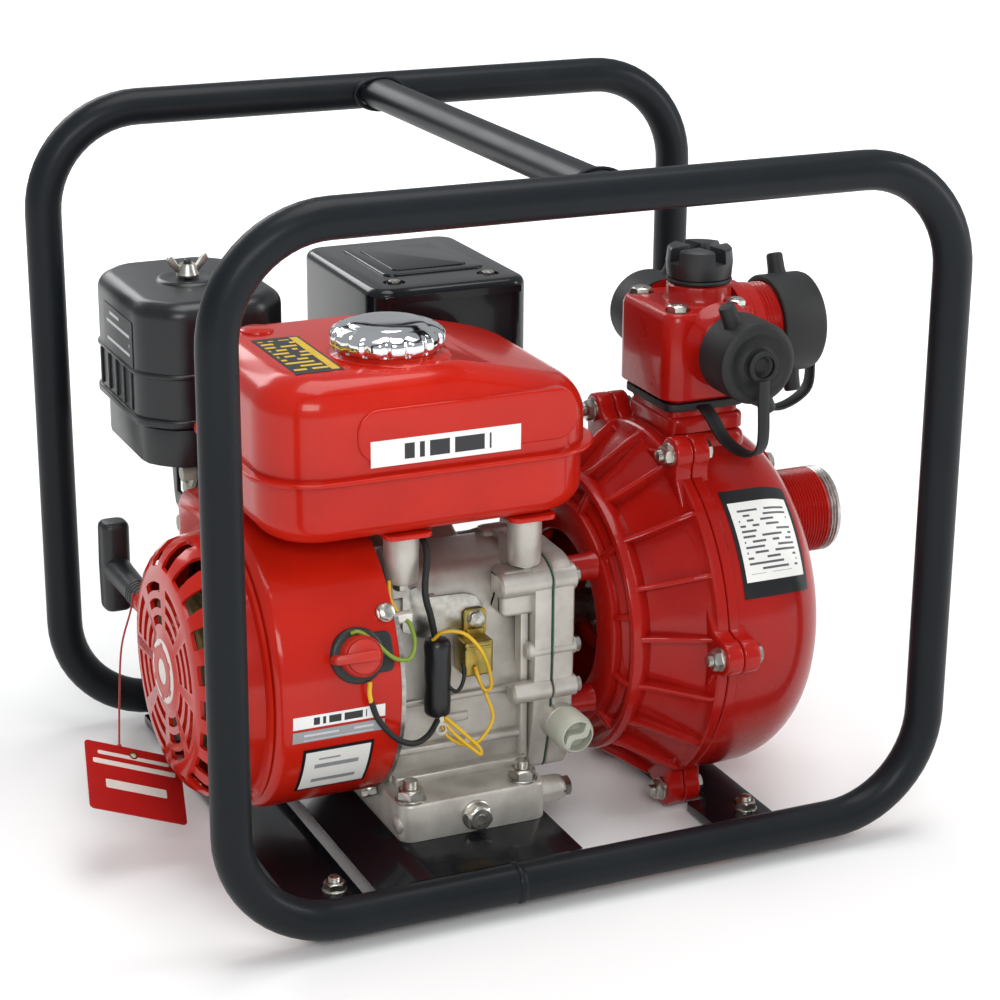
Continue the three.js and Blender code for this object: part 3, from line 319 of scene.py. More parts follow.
def printedLabel(name, ground, ink, rows, margin, bars=0.55, columns=7.0):
    # printed film: a ground with rows of plain bars in place of wording, from the piece's own UV map
    material, shader, _ = newMaterial(name, ground, 0.0, 0.35)
    uv = addNode(material, "ShaderNodeTexCoord").outputs["UV"]
    split = addNode(material, "ShaderNodeSeparateXYZ", None, {"Vector": uv})
    bricks = addNode(material, "ShaderNodeTexBrick", {
        "Scale": 1.0, "Mortar Size": 0.0, "Brick Width": 1.0 / columns, "Row Height": 1.0 / rows,
        "Color1": (1, 1, 1, 1), "Color2": (0, 0, 0, 1), "offset": 0.37,
    }, {"Vector": uv})
    words = addNode(material, "ShaderNodeMath", {"operation": "GREATER_THAN", 1: 0.4},
                    {0: bricks.outputs["Color"]})
    scaled = addNode(material, "ShaderNodeMath", {"operation": "MULTIPLY", 1: rows}, {0: split.outputs["Y"]})
    part = addNode(material, "ShaderNodeMath", {"operation": "FRACT"}, {0: scaled.outputs[0]})
    lines = addNode(material, "ShaderNodeMath", {"operation": "LESS_THAN", 1: bars}, {0: part.outputs[0]})
    mask = addNode(material, "ShaderNodeMath", {"operation": "MULTIPLY"},
                   {0: lines.outputs[0], 1: words.outputs[0]})
    for axis in ("X", "Y"):
        for kind, edge in (("GREATER_THAN", margin), ("LESS_THAN", 1 - margin)):
            test = addNode(material, "ShaderNodeMath", {"operation": kind, 1: edge}, {0: split.outputs[axis]})
            mask = addNode(material, "ShaderNodeMath", {"operation": "MULTIPLY"},
                           {0: mask.outputs[0], 1: test.outputs[0]})
    mix = addNode(material, "ShaderNodeMix", {"data_type": "RGBA"}, {0: mask.outputs[0]})
    mix.inputs[6].default_value = linear(ground)
    mix.inputs[7].default_value = linear(ink)
    material.node_tree.links.new(mix.outputs[2], shader.inputs["Base Color"])
    return material


finishes = {
    "frame": bakedEnamel("slate_powder_coat_on_steel_tube", "#171b1f", "#12161a", 0.42, 1.6, 0.03, 0.04),
    "black": bakedEnamel("black_stoved_enamel", "#14161a", "#0e1013", 0.25, 1.8, 0.02, 0.3),
    "red": bakedEnamel("red_stoved_enamel", "#c0200f", "#b41a0c", 0.24, 2.5, 0.015, 0.3),
    "pumpRed": bakedEnamel("red_enamel_on_cast_iron", "#a3150e", "#93100a", 0.27, 2.2, 0.10, 0.28),
    "cast": castMetal("blasted_cast_aluminium", "#c9c5bd", "#b2ada5", 0.42, 0.9, 0.10, 0.65),
    "castDark": castMetal("grey_cast_iron", "#6a6a6a", "#4c4c4c", 0.5, 1.0, 0.10),
    "zinc": platedSteel("zinc_plated_steel", "#c9c7c0", "#a9a69d", 0.26),
    "bright": platedSteel("machined_bright_steel", "#bdbbb6", "#9d9b97", 0.30, 3),
    "chrome": platedSteel("polished_chrome_plate", "#e3e4e6", "#d5d6d9", 0.07, 40),
    "gold": platedSteel("yellow_passivated_zinc", "#b79a4c", "#8f8a52", 0.30, 8),
    "plastic": mouldedPlastic("black_moulded_nylon", "#1d1f21", "#16181a", 0.42, 0.7, 0.04),
    "satinBlack": mouldedPlastic("black_moulded_polypropylene", "#14171a", "#0f1114", 0.33, 0.8, 0.03),
    "rubber": mouldedPlastic("black_moulded_rubber", "#0d0e10", "#090a0b", 0.58, 1.1, 0.05),
    "redPlastic": mouldedPlastic("red_moulded_abs", "#bb2a1c", "#ae2418", 0.35, 0.8, 0.02),
    "grey": mouldedPlastic("light_grey_moulded_nylon", "#b4b6a8", "#a6a89a", 0.45, 0.8, 0.03),
    "white": mouldedPlastic("white_moulded_nylon", "#e4e2da", "#d5d3ca", 0.45, 0.8, 0.02),
    "yellow": mouldedPlastic("yellow_pvc_wire_cover", "#dcb21e", "#cda015", 0.4, 0.8, 0.01),
    "green": mouldedPlastic("green_pvc_wire_cover", "#7f9a2a", "#6f8a22", 0.4, 0.8, 0.01),
    "olive": castMetal("oiled_pressed_steel", "#7d6a3e", "#5c4d2c", 0.45, 1.5, 0.05, 0.4),
    "gasket": paperGasket(),
    "foam": openFoam(),
    "card": mouldedPlastic("varnished_red_card", "#b01e1c", "#a31a18", 0.3, 1.5, 0.01),
    "string": twistedCord("red_twisted_string", "#a61a1a", "#8c1515", 1.4),
    "rope": twistedCord("black_braided_rope", "#26272a", "#17181a", 4.0),
}
print("materials ready")


# modelling helpers
def freshStart():
    if bpy.context.object and bpy.context.object.mode != "OBJECT":
        bpy.ops.object.mode_set(mode="OBJECT")
    bpy.ops.object.select_all(action="DESELECT")


def pick(kind, test):
    # selects the vertices, edges or faces that pass a test on their own place
    bpy.ops.mesh.select_mode(type=kind)
    bpy.ops.mesh.select_all(action="DESELECT")
    mesh = bmesh.from_edit_mesh(bpy.context.object.data)
    for item in {"VERT": mesh.verts, "EDGE": mesh.edges, "FACE": mesh.faces}[kind]:
        if test(item):
            item.select_set(True)
    mesh.select_flush_mode()
    bmesh.update_edit_mesh(bpy.context.object.data)


def applyModifier(piece, kind, **settings):
    freshStart()
    bpy.context.view_layer.objects.active = piece
    piece.select_set(True)
    modifier = piece.modifiers.new("step", kind)
    for key, value in settings.items():
        setattr(modifier, key, value)
    bpy.ops.object.modifier_apply(modifier=modifier.name)


def cutAway(piece, cutters):
    for cutter in cutters:
        applyModifier(piece, "BOOLEAN", operation="DIFFERENCE", solver="EXACT", object=cutter)
        bpy.data.objects.remove(cutter)
    return piece


def joinPieces(pieces):
    freshStart()
    for piece in pieces:
        piece.select_set(True)
    bpy.context.view_layer.objects.active = pieces[0]
    if len(pieces) > 1:
        bpy.ops.object.join()
    return bpy.context.object


def bevelEdges(piece, width, segments=2, angle=30):
    applyModifier(piece, "BEVEL", width=width, segments=segments, limit_method="ANGLE",
                  angle_limit=math.radians(angle), use_clamp_overlap=True)
    return piece


def turnSpace(piece, location=(0, 0, 0), turn=(0, 0, 0)):
    # moves and turns a piece in the drawing space, turn in degrees about X, Y, Z
    freshStart()
    bpy.context.view_layer.objects.active = piece
    piece.select_set(True)
    piece.rotation_euler = [math.radians(angle) for angle in turn]
    piece.location = location
    bpy.ops.object.transform_apply(location=True, rotation=True, scale=True)
    return piece


def aimPiece(piece, location, direction):
    # a piece drawn along +Z is turned onto a direction
    freshStart()
    bpy.context.view_layer.objects.active = piece
    piece.select_set(True)
    piece.rotation_mode = "QUATERNION"
    piece.rotation_quaternion = Vector(direction).to_track_quat("Z", "Y")
    piece.location = location
    bpy.ops.object.transform_apply(location=True, rotation=True, scale=True)
    piece.rotation_mode = "XYZ"
    return piece


def copyOf(piece):
    twin = piece.copy()
    twin.data = piece.data.copy()
    bpy.context.scene.collection.objects.link(twin)
    return twin


def startPoint(place):
    freshStart()
    bpy.ops.mesh.primitive_plane_add(size=1)
    bpy.ops.object.mode_set(mode="EDIT")
    bpy.ops.mesh.select_mode(type="VERT")
    bpy.ops.mesh.select_all(action="SELECT")
    bpy.ops.mesh.merge(type="CENTER")
    bpy.ops.transform.translate(value=place)


def pullLine(points):
    for before, after in zip(points, points[1:]):
        step = Vector(after) - Vector(before)
        bpy.ops.mesh.extrude_vertices_move(TRANSFORM_OT_translate={"value": step})


def turned(profile, axis="x", a=0, b=0, steps=64):
    # a profile of (along, radius) spun about an axis
    lift = {"x": lambda s, r: (s, a, b + r), "y": lambda s, r: (a, s, b + r), "z": lambda s, r: (a + r, b, s)}
    centre = {"x": (0, a, b), "y": (a, 0, b), "z": (a, b, 0)}[axis]
    along = {"x": (1, 0, 0), "y": (0, 1, 0), "z": (0, 0, 1)}[axis]
    points = [lift[axis](s, r) for s, r in profile]
    startPoint(points[0])
    pullLine(points)
    bpy.ops.mesh.select_all(action="SELECT")
    bpy.ops.mesh.spin(steps=steps, angle=tau, center=centre, axis=along)
    bpy.ops.mesh.select_all(action="SELECT")
    bpy.ops.mesh.remove_doubles(threshold=0.002)
    bpy.ops.mesh.normals_make_consistent(inside=False)
    bpy.ops.object.mode_set(mode="OBJECT")
    return bpy.context.object


def outline(points, axis, start, end):
    # a flat closed outline pushed along an axis: (v, w) along x, (x, w) along y, (x, v) along z
    lift = {"x": lambda p: (start, p[0], p[1]), "y": lambda p: (p[0], start, p[1]),
            "z": lambda p: (p[0], p[1], start)}
    along = {"x": (1, 0, 0), "y": (0, 1, 0), "z": (0, 0, 1)}[axis]
    ring = [lift[axis](p) for p in points]
    startPoint(ring[0])
    pullLine(ring + [ring[0]])
    bpy.ops.mesh.select_all(action="SELECT")
    bpy.ops.mesh.remove_doubles(threshold=0.001)
    bpy.ops.mesh.edge_face_add()
    bpy.ops.mesh.extrude_region_move(TRANSFORM_OT_translate={"value": Vector(along) * (end - start)})
    bpy.ops.mesh.select_all(action="SELECT")
    bpy.ops.mesh.normals_make_consistent(inside=False)
    bpy.ops.object.mode_set(mode="OBJECT")
    return bpy.context.object


def softBox(low, high, corner=0, edge=0, cornerSteps=6, edgeSteps=3, bothEnds=False, axis=2):
    # a cube at its size, its four corners along one axis bevelled, then the rim of its far face
    freshStart()
    low, high = Vector(low), Vector(high)
    bpy.ops.mesh.primitive_cube_add(size=1, location=(low + high) / 2, scale=high - low)
    bpy.ops.object.transform_apply(location=True, rotation=True, scale=True)
    bpy.ops.object.mode_set(mode="EDIT")
    others = [i for i in range(3) if i != axis]
    if corner:
        pick("EDGE", lambda e: all(abs(e.verts[0].co[i] - e.verts[1].co[i]) < 1e-3 for i in others))
        bpy.ops.mesh.bevel(offset=corner, segments=cornerSteps, affect="EDGES")
    if edge:
        ends = [high[axis]] + ([low[axis]] if bothEnds else [])
        pick("EDGE", lambda e: any(all(abs(v.co[axis] - end) < 1e-3 for v in e.verts) for end in ends))
        bpy.ops.mesh.bevel(offset=edge, segments=edgeSteps, affect="EDGES")
    bpy.ops.object.mode_set(mode="OBJECT")
    return bpy.context.object


def rod(radius, start, end, axis="x", a=0, b=0, steps=32, rim=0.0):
    # a short turned rod with a small chamfer at both ends
    profile = [(start, 0), (start, radius - rim), (start + rim, radius),
               (end - rim, radius), (end, radius - rim), (end, 0)]
    if not rim:
        profile = [(start, 0), (start, radius), (end, radius), (end, 0)]
    return turned(profile, axis, a, b, steps)


def bentTube(radius, start, direction, moves, sides=28):
    # a ring pushed straight ahead or spun about a bend centre, as a pipe bender does
    freshStart()
    turn = Vector(direction).to_track_quat("Z", "Y").to_euler()
    bpy.ops.mesh.primitive_circle_add(radius=radius, vertices=sides, location=start, rotation=turn)
    bpy.ops.object.transform_apply(location=True, rotation=True, scale=True)
    bpy.ops.object.mode_set(mode="EDIT")
    bpy.ops.mesh.select_mode(type="VERT")
    bpy.ops.mesh.select_all(action="SELECT")
    for move in moves:
        if move[0] == "straight":
            bpy.ops.mesh.extrude_region_move(TRANSFORM_OT_translate={"value": move[1]})
        else:
            _, centre, axis, angle, steps = move
            bpy.ops.mesh.spin(steps=steps, angle=math.radians(angle), center=centre, axis=axis)
    bpy.ops.mesh.select_all(action="SELECT")
    bpy.ops.mesh.remove_doubles(threshold=0.01)
    bpy.ops.mesh.normals_make_consistent(inside=False)
    bpy.ops.object.mode_set(mode="OBJECT")
    return bpy.context.object


def alongLine(points, radius, sides=10, widthRadius=None):
    # a tube or ribbon drawn as a bevelled curve and made a mesh
    curve = bpy.data.curves.new("line", "CURVE")
    curve.dimensions = "3D"
    spline = curve.splines.new("POLY")
    spline.points.add(len(points) - 1)
    for point, place in zip(spline.points, points):
        point.co = (*place, 1)
    curve.use_fill_caps = True
    if widthRadius is None:
        curve.bevel_depth = radius
        curve.bevel_resolution = max(1, sides // 4)
    else:
        section = bpy.data.curves.new("section", "CURVE")
        section.dimensions = "2D"
        edge = section.splines.new("POLY")
        corners = [(-1, -0.6), (-0.85, -1), (0.85, -1), (1, -0.6), (1, 0.6), (0.85, 1), (-0.85, 1), (-1, 0.6)]
        edge.points.add(len(corners) - 1)
        for point, (across, up) in zip(edge.points, corners):
            point.co = (across * widthRadius, up * radius, 0, 1)
        edge.use_cyclic_u = True
        holder = bpy.data.objects.new("section", section)
        bpy.context.scene.collection.objects.link(holder)
        curve.bevel_mode = "OBJECT"
        curve.bevel_object = holder
    freshStart()
    line = bpy.data.objects.new("line", curve)
    bpy.context.scene.collection.objects.link(line)
    bpy.context.view_layer.objects.active = line
    line.select_set(True)
    bpy.ops.object.convert(target="MESH")
    piece = bpy.context.object
    if widthRadius is not None:
        bpy.data.objects.remove(holder)
    bpy.ops.object.mode_set(mode="EDIT")
    bpy.ops.mesh.select_all(action="SELECT")
    bpy.ops.mesh.remove_doubles(threshold=0.001)
    bpy.ops.mesh.normals_make_consistent(inside=False)
    bpy.ops.object.mode_set(mode="OBJECT")
    return piece


def settle(piece, name, finish, body="root", replaces=(), angle=35, metres=False):
    # from the drawing space to metres in the part's frame, shaded, finished and hung on its body
    freshStart()
    piece.name = name
    piece.data.name = name
    bpy.context.view_layer.objects.active = piece
    piece.select_set(True)
    if not metres:
        piece.scale = (0.001, 0.001, 0.001)
        piece.location = crank
        bpy.ops.object.transform_apply(location=True, rotation=True, scale=True)
    bpy.ops.object.shade_smooth_by_angle(angle=math.radians(angle))
    piece.data.materials.clear()
    piece.data.materials.append(finishes[finish] if isinstance(finish, str) else finish)
    if replaces:
        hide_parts(*replaces)
    if body:
        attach(piece, body)
    return piece


def refine(node, finish, body="root", width=0.8, segments=2, angle=30, details=()):
    # a merged copy of a solid whose edges are broken, standing for the plain one
    freshStart()
    source = frame["nodes"][node]
    twin = bpy.data.objects.new(node + "_body", source.data.copy())
    bpy.context.scene.collection.objects.link(twin)
    twin.data.transform(Matrix.Scale(1000, 4) @ Matrix.Translation(-crank))
    bpy.context.view_layer.objects.active = twin
    twin.select_set(True)
    bpy.ops.object.mode_set(mode="EDIT")
    bpy.ops.mesh.select_all(action="SELECT")
    bpy.ops.mesh.remove_doubles(threshold=0.01)
    bpy.ops.mesh.dissolve_limited(angle_limit=math.radians(1))
    bpy.ops.object.mode_set(mode="OBJECT")
    bevelEdges(twin, width, segments, angle)
    if details:
        twin = joinPieces([twin, *details])
    return settle(twin, node + "_shell", finish, body, (node,))


def hexHead(acrossFlats, height):
    # hexagon head with chamfered corners
    freshStart()
    radius = acrossFlats / math.sqrt(3)
    bpy.ops.mesh.primitive_cylinder_add(vertices=6, radius=radius, depth=height, location=(0, 0, height / 2))
    bpy.ops.object.transform_apply(location=True, rotation=True, scale=True)
    head = bpy.context.object
    top = turned([(-1, 0), (-1, radius + 2), (height - acrossFlats * 0.12, radius + 0.4),
                  (height + 0.01, acrossFlats * 0.44), (height + 0.01, 0)], "z", 0, 0, 36)
    applyModifier(head, "BOOLEAN", operation="INTERSECT", solver="EXACT", object=top)
    bpy.data.objects.remove(top)
    return bevelEdges(head, 0.25, 1, 40)


def hexBolt(size=8, washer=True, stub=0.0):
    # flats and head height of a metric bolt, seated on z = 0 and looking along +Z
    acrossFlats = {5: 8, 6: 10, 8: 13, 10: 16}[size]
    parts = []
    seat = 0
    if washer:
        seat = size * 0.18
        parts.append(turned([(0, 0), (0, size * 1.02), (seat * 0.7, size * 1.02), (seat, size * 0.96),
                             (seat, 0)], "z", 0, 0, 32))
    head = hexHead(acrossFlats, size * 0.65)
    turnSpace(head, (0, 0, seat))
    parts.append(head)
    dish = turned([(seat + size * 0.6, 0), (seat + size * 0.6, size * 0.38),
                   (seat + size * 0.69, size * 0.34), (seat + size * 0.66, 0)], "z", 0, 0, 20)
    parts.append(dish)
    if stub:
        top = seat + size * 0.65
        profile = [(top - 1, 0)]
        for turn in range(int(stub / 1.2)):
            profile += [(top + turn * 1.2, size * 0.5), (top + turn * 1.2 + 0.6, size * 0.44)]
        profile.append((top + stub, 0))
        parts.append(turned(profile, "z", 0, 0, 20))
    return joinPieces(parts)


def boltsAt(places, size, name, body="root", stub=0.0, washer=True, finish="zinc"):
    # one bolt modelled once and copied to each (place, direction)
    master = hexBolt(size, washer, stub)
    copies = []
    for place, direction in places:
        twin = copyOf(master)
        twin.data.transform(Matrix.Rotation(random.uniform(0, math.pi / 3), 4, "Z"))
        copies.append(aimPiece(twin, place, direction))
    bpy.data.objects.remove(master)
    return settle(joinPieces(copies), name, finish, body)


# hang tag on its string, hung from the rope guide
tagSizes = {
    "width": 70,
    "height": 56,
    "thickness": 0.8,
    "hole": 2.2,
    "holeInset": 6,
    "centre": (-258, 14, -82),
    "across": (0.93, 0, -0.37),
    "along": (-0.2, -0.86, -0.47),
    "printed": ((-22, 2, 22, 9), (-30, -14, 30, -10), (-26, -21, 26, -18)),
}


def makeTag():
    half, tall, thick = tagSizes["width"] / 2, tagSizes["height"] / 2, tagSizes["thickness"] / 2
    card = softBox((-half, -tall, -thick), (half, tall, thick), 3, 0, 5)
    holeAt = -tall + tagSizes["holeInset"]
    cutAway(card, [rod(tagSizes["hole"], -3, 3, "z", 0, holeAt, 24)])
    bevelEdges(card, 0.12, 1, 50)
    eyelet = turned([(-0.7, 2), (-0.7, 3.2), (0.7, 3.2), (0.7, 2), (-0.7, 2)], "z", 0, holeAt, 32)
    prints = [softBox((left, low, -thick - 0.12), (right, high, thick + 0.12), 1, 0, 3)
              for left, low, right, high in tagSizes["printed"]]
    across = Vector(tagSizes["across"]).normalized()
    normal = across.cross(Vector(tagSizes["along"])).normalized()
    along = normal.cross(across).normalized()
    basis = Matrix((across, along, normal)).transposed().to_4x4()
    place = Matrix.Translation(tagSizes["centre"]) @ basis
    for piece in (card, eyelet, *prints):
        piece.data.transform(place)
    settle(card, "hang_tag_card", "card", "root", ("hang_tag",), 40)
    settle(eyelet, "hang_tag_eyelet", "gold", "root")
    settle(joinPieces(prints), "hang_tag_print", "white", "root")


def makeString():
    route = smoothLine(stringPlace["points"], 6)
    cord = alongLine([tuple(local(p)) for p in route], stringPlace["thickness"] * 500, 8)
    knot = turned([(-1.6, 0), (-1.2, 1.2), (0, 1.7), (1.2, 1.2), (1.6, 0)], "z", 0, 0, 16)
    knot.data.transform(Matrix.Translation(local(route[-1])))
    settle(cord, "tag_string_cord", "string", "root", ("tag_string",), 60)
    settle(knot, "tag_string_knot", "string", "root")


makeTag()
makeString()
print("tag ready")


# carrying frame
frameSizes = {
    "tube": 12.7,
    "bend": 70,
    "weldAt": -56,
    "barHalfWidth": 13,
    "barHalfHeight": 9,
    "bendSteps": 14,
    "flareLength": 26,
    "flare": 1.35,
}


def weldBead(place, axis, radius):
    # a low rippled ring of weld metal
    bead = turned([(-3.2, radius - 1), (-2.4, radius + 0.4), (-0.8, radius + 0.9), (0.8, radius + 0.9),
                   (2.4, radius + 0.4), (3.2, radius - 1), (-3.2, radius - 1)], "z", 0, 0, 40)
    for vertex in bead.data.vertices:
        angle = math.atan2(vertex.co.y, vertex.co.x)
        vertex.co.z += 0.5 * math.sin(9 * angle)
    return aimPiece(bead, place, axis)


def makeLoop(node):
    low, high = localBox(node)
    radius, bend, steps = frameSizes["tube"], frameSizes["bend"], frameSizes["bendSteps"]
    v = (low.y + high.y) / 2
    left, right = low.x + radius, high.x - radius
    bottom, top = low.z + radius + 0.3, high.z - radius
    weldX = frameSizes["weldAt"]
    turn = (0, 1, 0)
    tube = bentTube(radius, (weldX, v, bottom), (1, 0, 0), [
        ("straight", (right - bend - weldX, 0, 0)),
        ("bend", (right - bend, v, bottom + bend), turn, 90, steps),
        ("straight", (0, 0, top - bottom - 2 * bend)),
        ("bend", (right - bend, v, top - bend), turn, 90, steps),
        ("straight", (left + bend - right + bend, 0, 0)),
        ("bend", (left + bend, v, top - bend), turn, 90, steps),
        ("straight", (0, 0, bottom - top + 2 * bend)),
        ("bend", (left + bend, v, bottom + bend), turn, 90, steps),
        ("straight", (weldX - left - bend, 0, 0)),
    ])
    bead = weldBead((weldX, v, bottom), (1, 0, 0), radius)
    settle(joinPieces([tube, bead]), node + "_tube", "frame", "root", (node,), 50)


def makeCarryBar():
    low, high = localBox("carry_bar")
    x = (low.x + high.x) / 2
    w = (low.z + high.z) / 2
    reach = frameSizes["tube"] - 2
    front, back = low.y - 10 + reach * 0.4, high.y + 10 - reach * 0.4
    freshStart()
    bpy.ops.mesh.primitive_cylinder_add(vertices=40, radius=1, depth=back - front,
                                        location=(x, (front + back) / 2, w), rotation=(math.pi / 2, 0, 0),
                                        end_fill_type="NOTHING")
    bar = bpy.context.object
    bar.scale = (frameSizes["barHalfWidth"], frameSizes["barHalfHeight"] + 2, 1)
    bpy.ops.object.transform_apply(location=True, rotation=True, scale=True)
    bpy.ops.object.mode_set(mode="EDIT")
    pick("VERT", lambda p: True)
    bpy.ops.mesh.bisect(plane_co=(x, front + frameSizes["flareLength"], w), plane_no=(0, 1, 0))
    bpy.ops.mesh.select_all(action="SELECT")
    bpy.ops.mesh.bisect(plane_co=(x, back - frameSizes["flareLength"], w), plane_no=(0, 1, 0))
    # the pressed ends flare sideways over the loops
    for end in (front, back):
        pick("VERT", lambda p: abs(p.co.y - end) < 1)
        bpy.ops.transform.resize(value=(frameSizes["flare"], 1, 1), center_override=(x, end, w))
    bpy.ops.object.mode_set(mode="OBJECT")
    beads = []
    for v in (front, back):
        side = 1 if v == front else -1
        line = [(x + 19 * math.cos(a), v + side * (9.5 + 3.2 * abs(math.sin(a))), w + 11.4 * math.sin(a))
                for a in [tau * i / 32 for i in range(33)]]
        beads.append(alongLine(line, 1.5, 8))
    settle(joinPieces([bar, *beads]), "carry_bar_tube", "frame", "root", ("carry_bar",), 50)


def makeRails():
    places = []
    for node in ("cross_rail_left", "cross_rail_right"):
        refine(node, "black", "root", 0.9)
    refine("engine_base_plate", "black", "root", 1.2, 3)
    for side in ("left", "right"):
        railTop = localBox("cross_rail_" + side)[1].z
        for end in ("front", "rear"):
            node = f"rubber_foot_{side}_{end}"
            low, high = localBox(node)
            x, v = (low.x + high.x) / 2, (low.y + high.y) / 2
            foot = turned([(low.z, 0), (low.z, 10.5), (low.z + 1, 12), (high.z - 2, 11.4), (high.z, 10),
                           (high.z, 0)], "z", x, v, 40)
            settle(foot, node + "_pad", "rubber", "root", (node,))
            places.append(((x, v, railTop), (0, 0, 1)))
    boltsAt(places, 8, "foot_bolts", stub=4)


makeLoop("frame_loop_front")
makeLoop("frame_loop_rear")
makeCarryBar()
makeRails()
print("frame ready")


# fuel tank
tankSizes = {
    "corner": 40,
    "topEdge": 24,
    "bottomEdge": 18,
    "flange": 3.2,
    "seamAt": 144,
    "slopeStart": -60,
    "slopeAngle": 13.5,
    # the two posts on the crankcase that carry the tank
    "postX": (-97, -10),
    "postV": -60,
    "postFoot": 61.6,
}


def roundTopRim(width, steps):
    def isRim(edge):
        tilts = sorted(face.normal.z for face in edge.link_faces)
        return len(tilts) == 2 and tilts[0] < 0.3 and tilts[1] > 0.7
    pick("EDGE", isRim)
    bpy.ops.mesh.bevel(offset=width, segments=steps, affect="EDGES")


def makeTank():
    low, high = localBox("fuel_tank")
    top = high.z - 3
    seam = tankSizes["seamAt"]
    slope = math.radians(tankSizes["slopeAngle"])
    crown = softBox((low.x + 6, low.y + 6, seam), (high.x - 6, high.y - 6, top), tankSizes["corner"], 0, 12)
    bpy.ops.object.mode_set(mode="EDIT")
    bpy.ops.mesh.select_all(action="SELECT")
    bpy.ops.mesh.bisect(plane_co=(tankSizes["slopeStart"], 0, top),
                        plane_no=(math.sin(slope), 0, math.cos(slope)), use_fill=True, clear_outer=True)
    roundTopRim(tankSizes["topEdge"], 10)
    pick("EDGE", lambda e: all(abs(v.co.z - top) < 0.1 and abs(v.co.x - tankSizes["slopeStart"]) < 2
                               for v in e.verts))
    bpy.ops.mesh.bevel(offset=30, segments=5, affect="EDGES")
    pick("FACE", lambda f: f.normal.z < -0.9)
    bpy.ops.mesh.delete(type="FACE")
    bpy.ops.object.mode_set(mode="OBJECT")

    pan = softBox((low.x + 7, low.y + 7, -seam), (high.x - 7, high.y - 6, -low.z), tankSizes["corner"], 0, 12)
    bpy.ops.object.mode_set(mode="EDIT")
    roundTopRim(tankSizes["bottomEdge"], 8)
    pick("FACE", lambda f: f.normal.z < -0.9)
    bpy.ops.mesh.delete(type="FACE")
    bpy.ops.mesh.select_all(action="SELECT")
    bpy.ops.transform.resize(value=(1, 1, -1), center_override=(0, 0, 0))
    bpy.ops.mesh.normals_make_consistent(inside=False)
    bpy.ops.object.mode_set(mode="OBJECT")

    half = tankSizes["flange"] / 2
    flange = softBox((low.x, low.y, seam - half), (high.x, high.y, seam + half), tankSizes["corner"] + 4, 0,
                     12)
    bevelEdges(flange, 1.2, 3, 50)
    capLow, capHigh = localBox("fuel_cap")
    x, v = (capLow.x + capHigh.x) / 2, (capLow.y + capHigh.y) / 2
    neck = turned([(top - 3, 41), (top - 0.4, 39), (top + 0.6, 35), (top + 3, 33), (top + 3, 27),
                   (top - 12, 27)], "z", x, v, 64)
    boss = turned([(top - 8, 14), (top + 1.2, 11), (top + 2, 9), (top + 2, 0)], "z", low.x + 44,
                  high.y - 40, 40)
    # the raised panel pressed into the front wall
    panel = softBox((-136, low.y + 4.4, seam + 10), (14, low.y + 14, top - 20), 14, 1.5, 8, 4, True, 1)
    body = joinPieces([crown, pan, flange, neck, boss, panel])
    settle(body, "tank_shell", "red", "root", ("fuel_tank",), 40)

    tabs = []
    for x in tankSizes["postX"]:
        tabs.append(softBox((x - 16, -78, 96.6), (x + 16, -40, 99.8), 6, 1, 4, 2))
    settle(joinPieces(tabs), "tank_tabs", "red", "root")
    boltsAt([((x, tankSizes["postV"], tankSizes["postFoot"]), (0, 0, -1)) for x in tankSizes["postX"]], 6,
            "tank_post_bolts")


fuelCapSizes = {
    "flutes": 16,
    "fluteDepth": 1.9,
    "skirt": 11,
}


def makeFuelCap():
    low, high = localBox("fuel_cap")
    x, v = (low.x + high.x) / 2, (low.y + high.y) / 2
    radius = (high.x - low.x) / 2
    base = high.z - 17
    cap = turned([
        (base - 9, 0), (base - 9, 25.5), (base - 0.4, 25.5), (base - 0.4, radius - 4),
        (base + 0.4, radius - 2), (base + 1.4, radius - 1), (base + 2.8, radius - 0.2), (base + 5, radius),
        (base + 8, radius), (base + 10, radius - 0.5), (base + 11.6, radius - 2), (base + 13, radius - 4.4),
        (base + 14.2, radius - 7.6), (base + 14.8, radius - 10.4), (base + 14.9, radius - 11.4),
        (base + 15.7, radius - 12.4), (base + 16.4, radius - 14.6), (base + 16.8, radius - 18),
        (base + 17, radius - 24), (base + 17, 0),
    ], "z", x, v, 192)
    count, depth, skirt = fuelCapSizes["flutes"], fuelCapSizes["fluteDepth"], fuelCapSizes["skirt"]
    for vertex in cap.data.vertices:
        away = Vector((vertex.co.x - x, vertex.co.y - v, 0))
        height = vertex.co.z - base
        if away.length > radius - 5 and height > 1:
            scoop = max(0.0, math.cos(count * math.atan2(away.y, away.x))) ** 1.4
            vertex.co -= away.normalized() * depth * scoop * min(1.0, (skirt + 3 - height) / 4)
    settle(cap, "fuel_cap_shell", "chrome", "fuel_cap", ("fuel_cap",), 50)


makeTank()
makeFuelCap()
print("tank ready")


# fan shroud and recoil starter
shroudSizes = {
    "radius": 98,
    "wall": 2.5,
    "rim": 9,
    "opening": 82,
}


def arcPoints(radius, start, end, steps, a=0, b=0):
    return [(a + radius * math.cos(math.radians(start + (end - start) * i / steps)),
             b + radius * math.sin(math.radians(start + (end - start) * i / steps)))
            for i in range(steps + 1)]


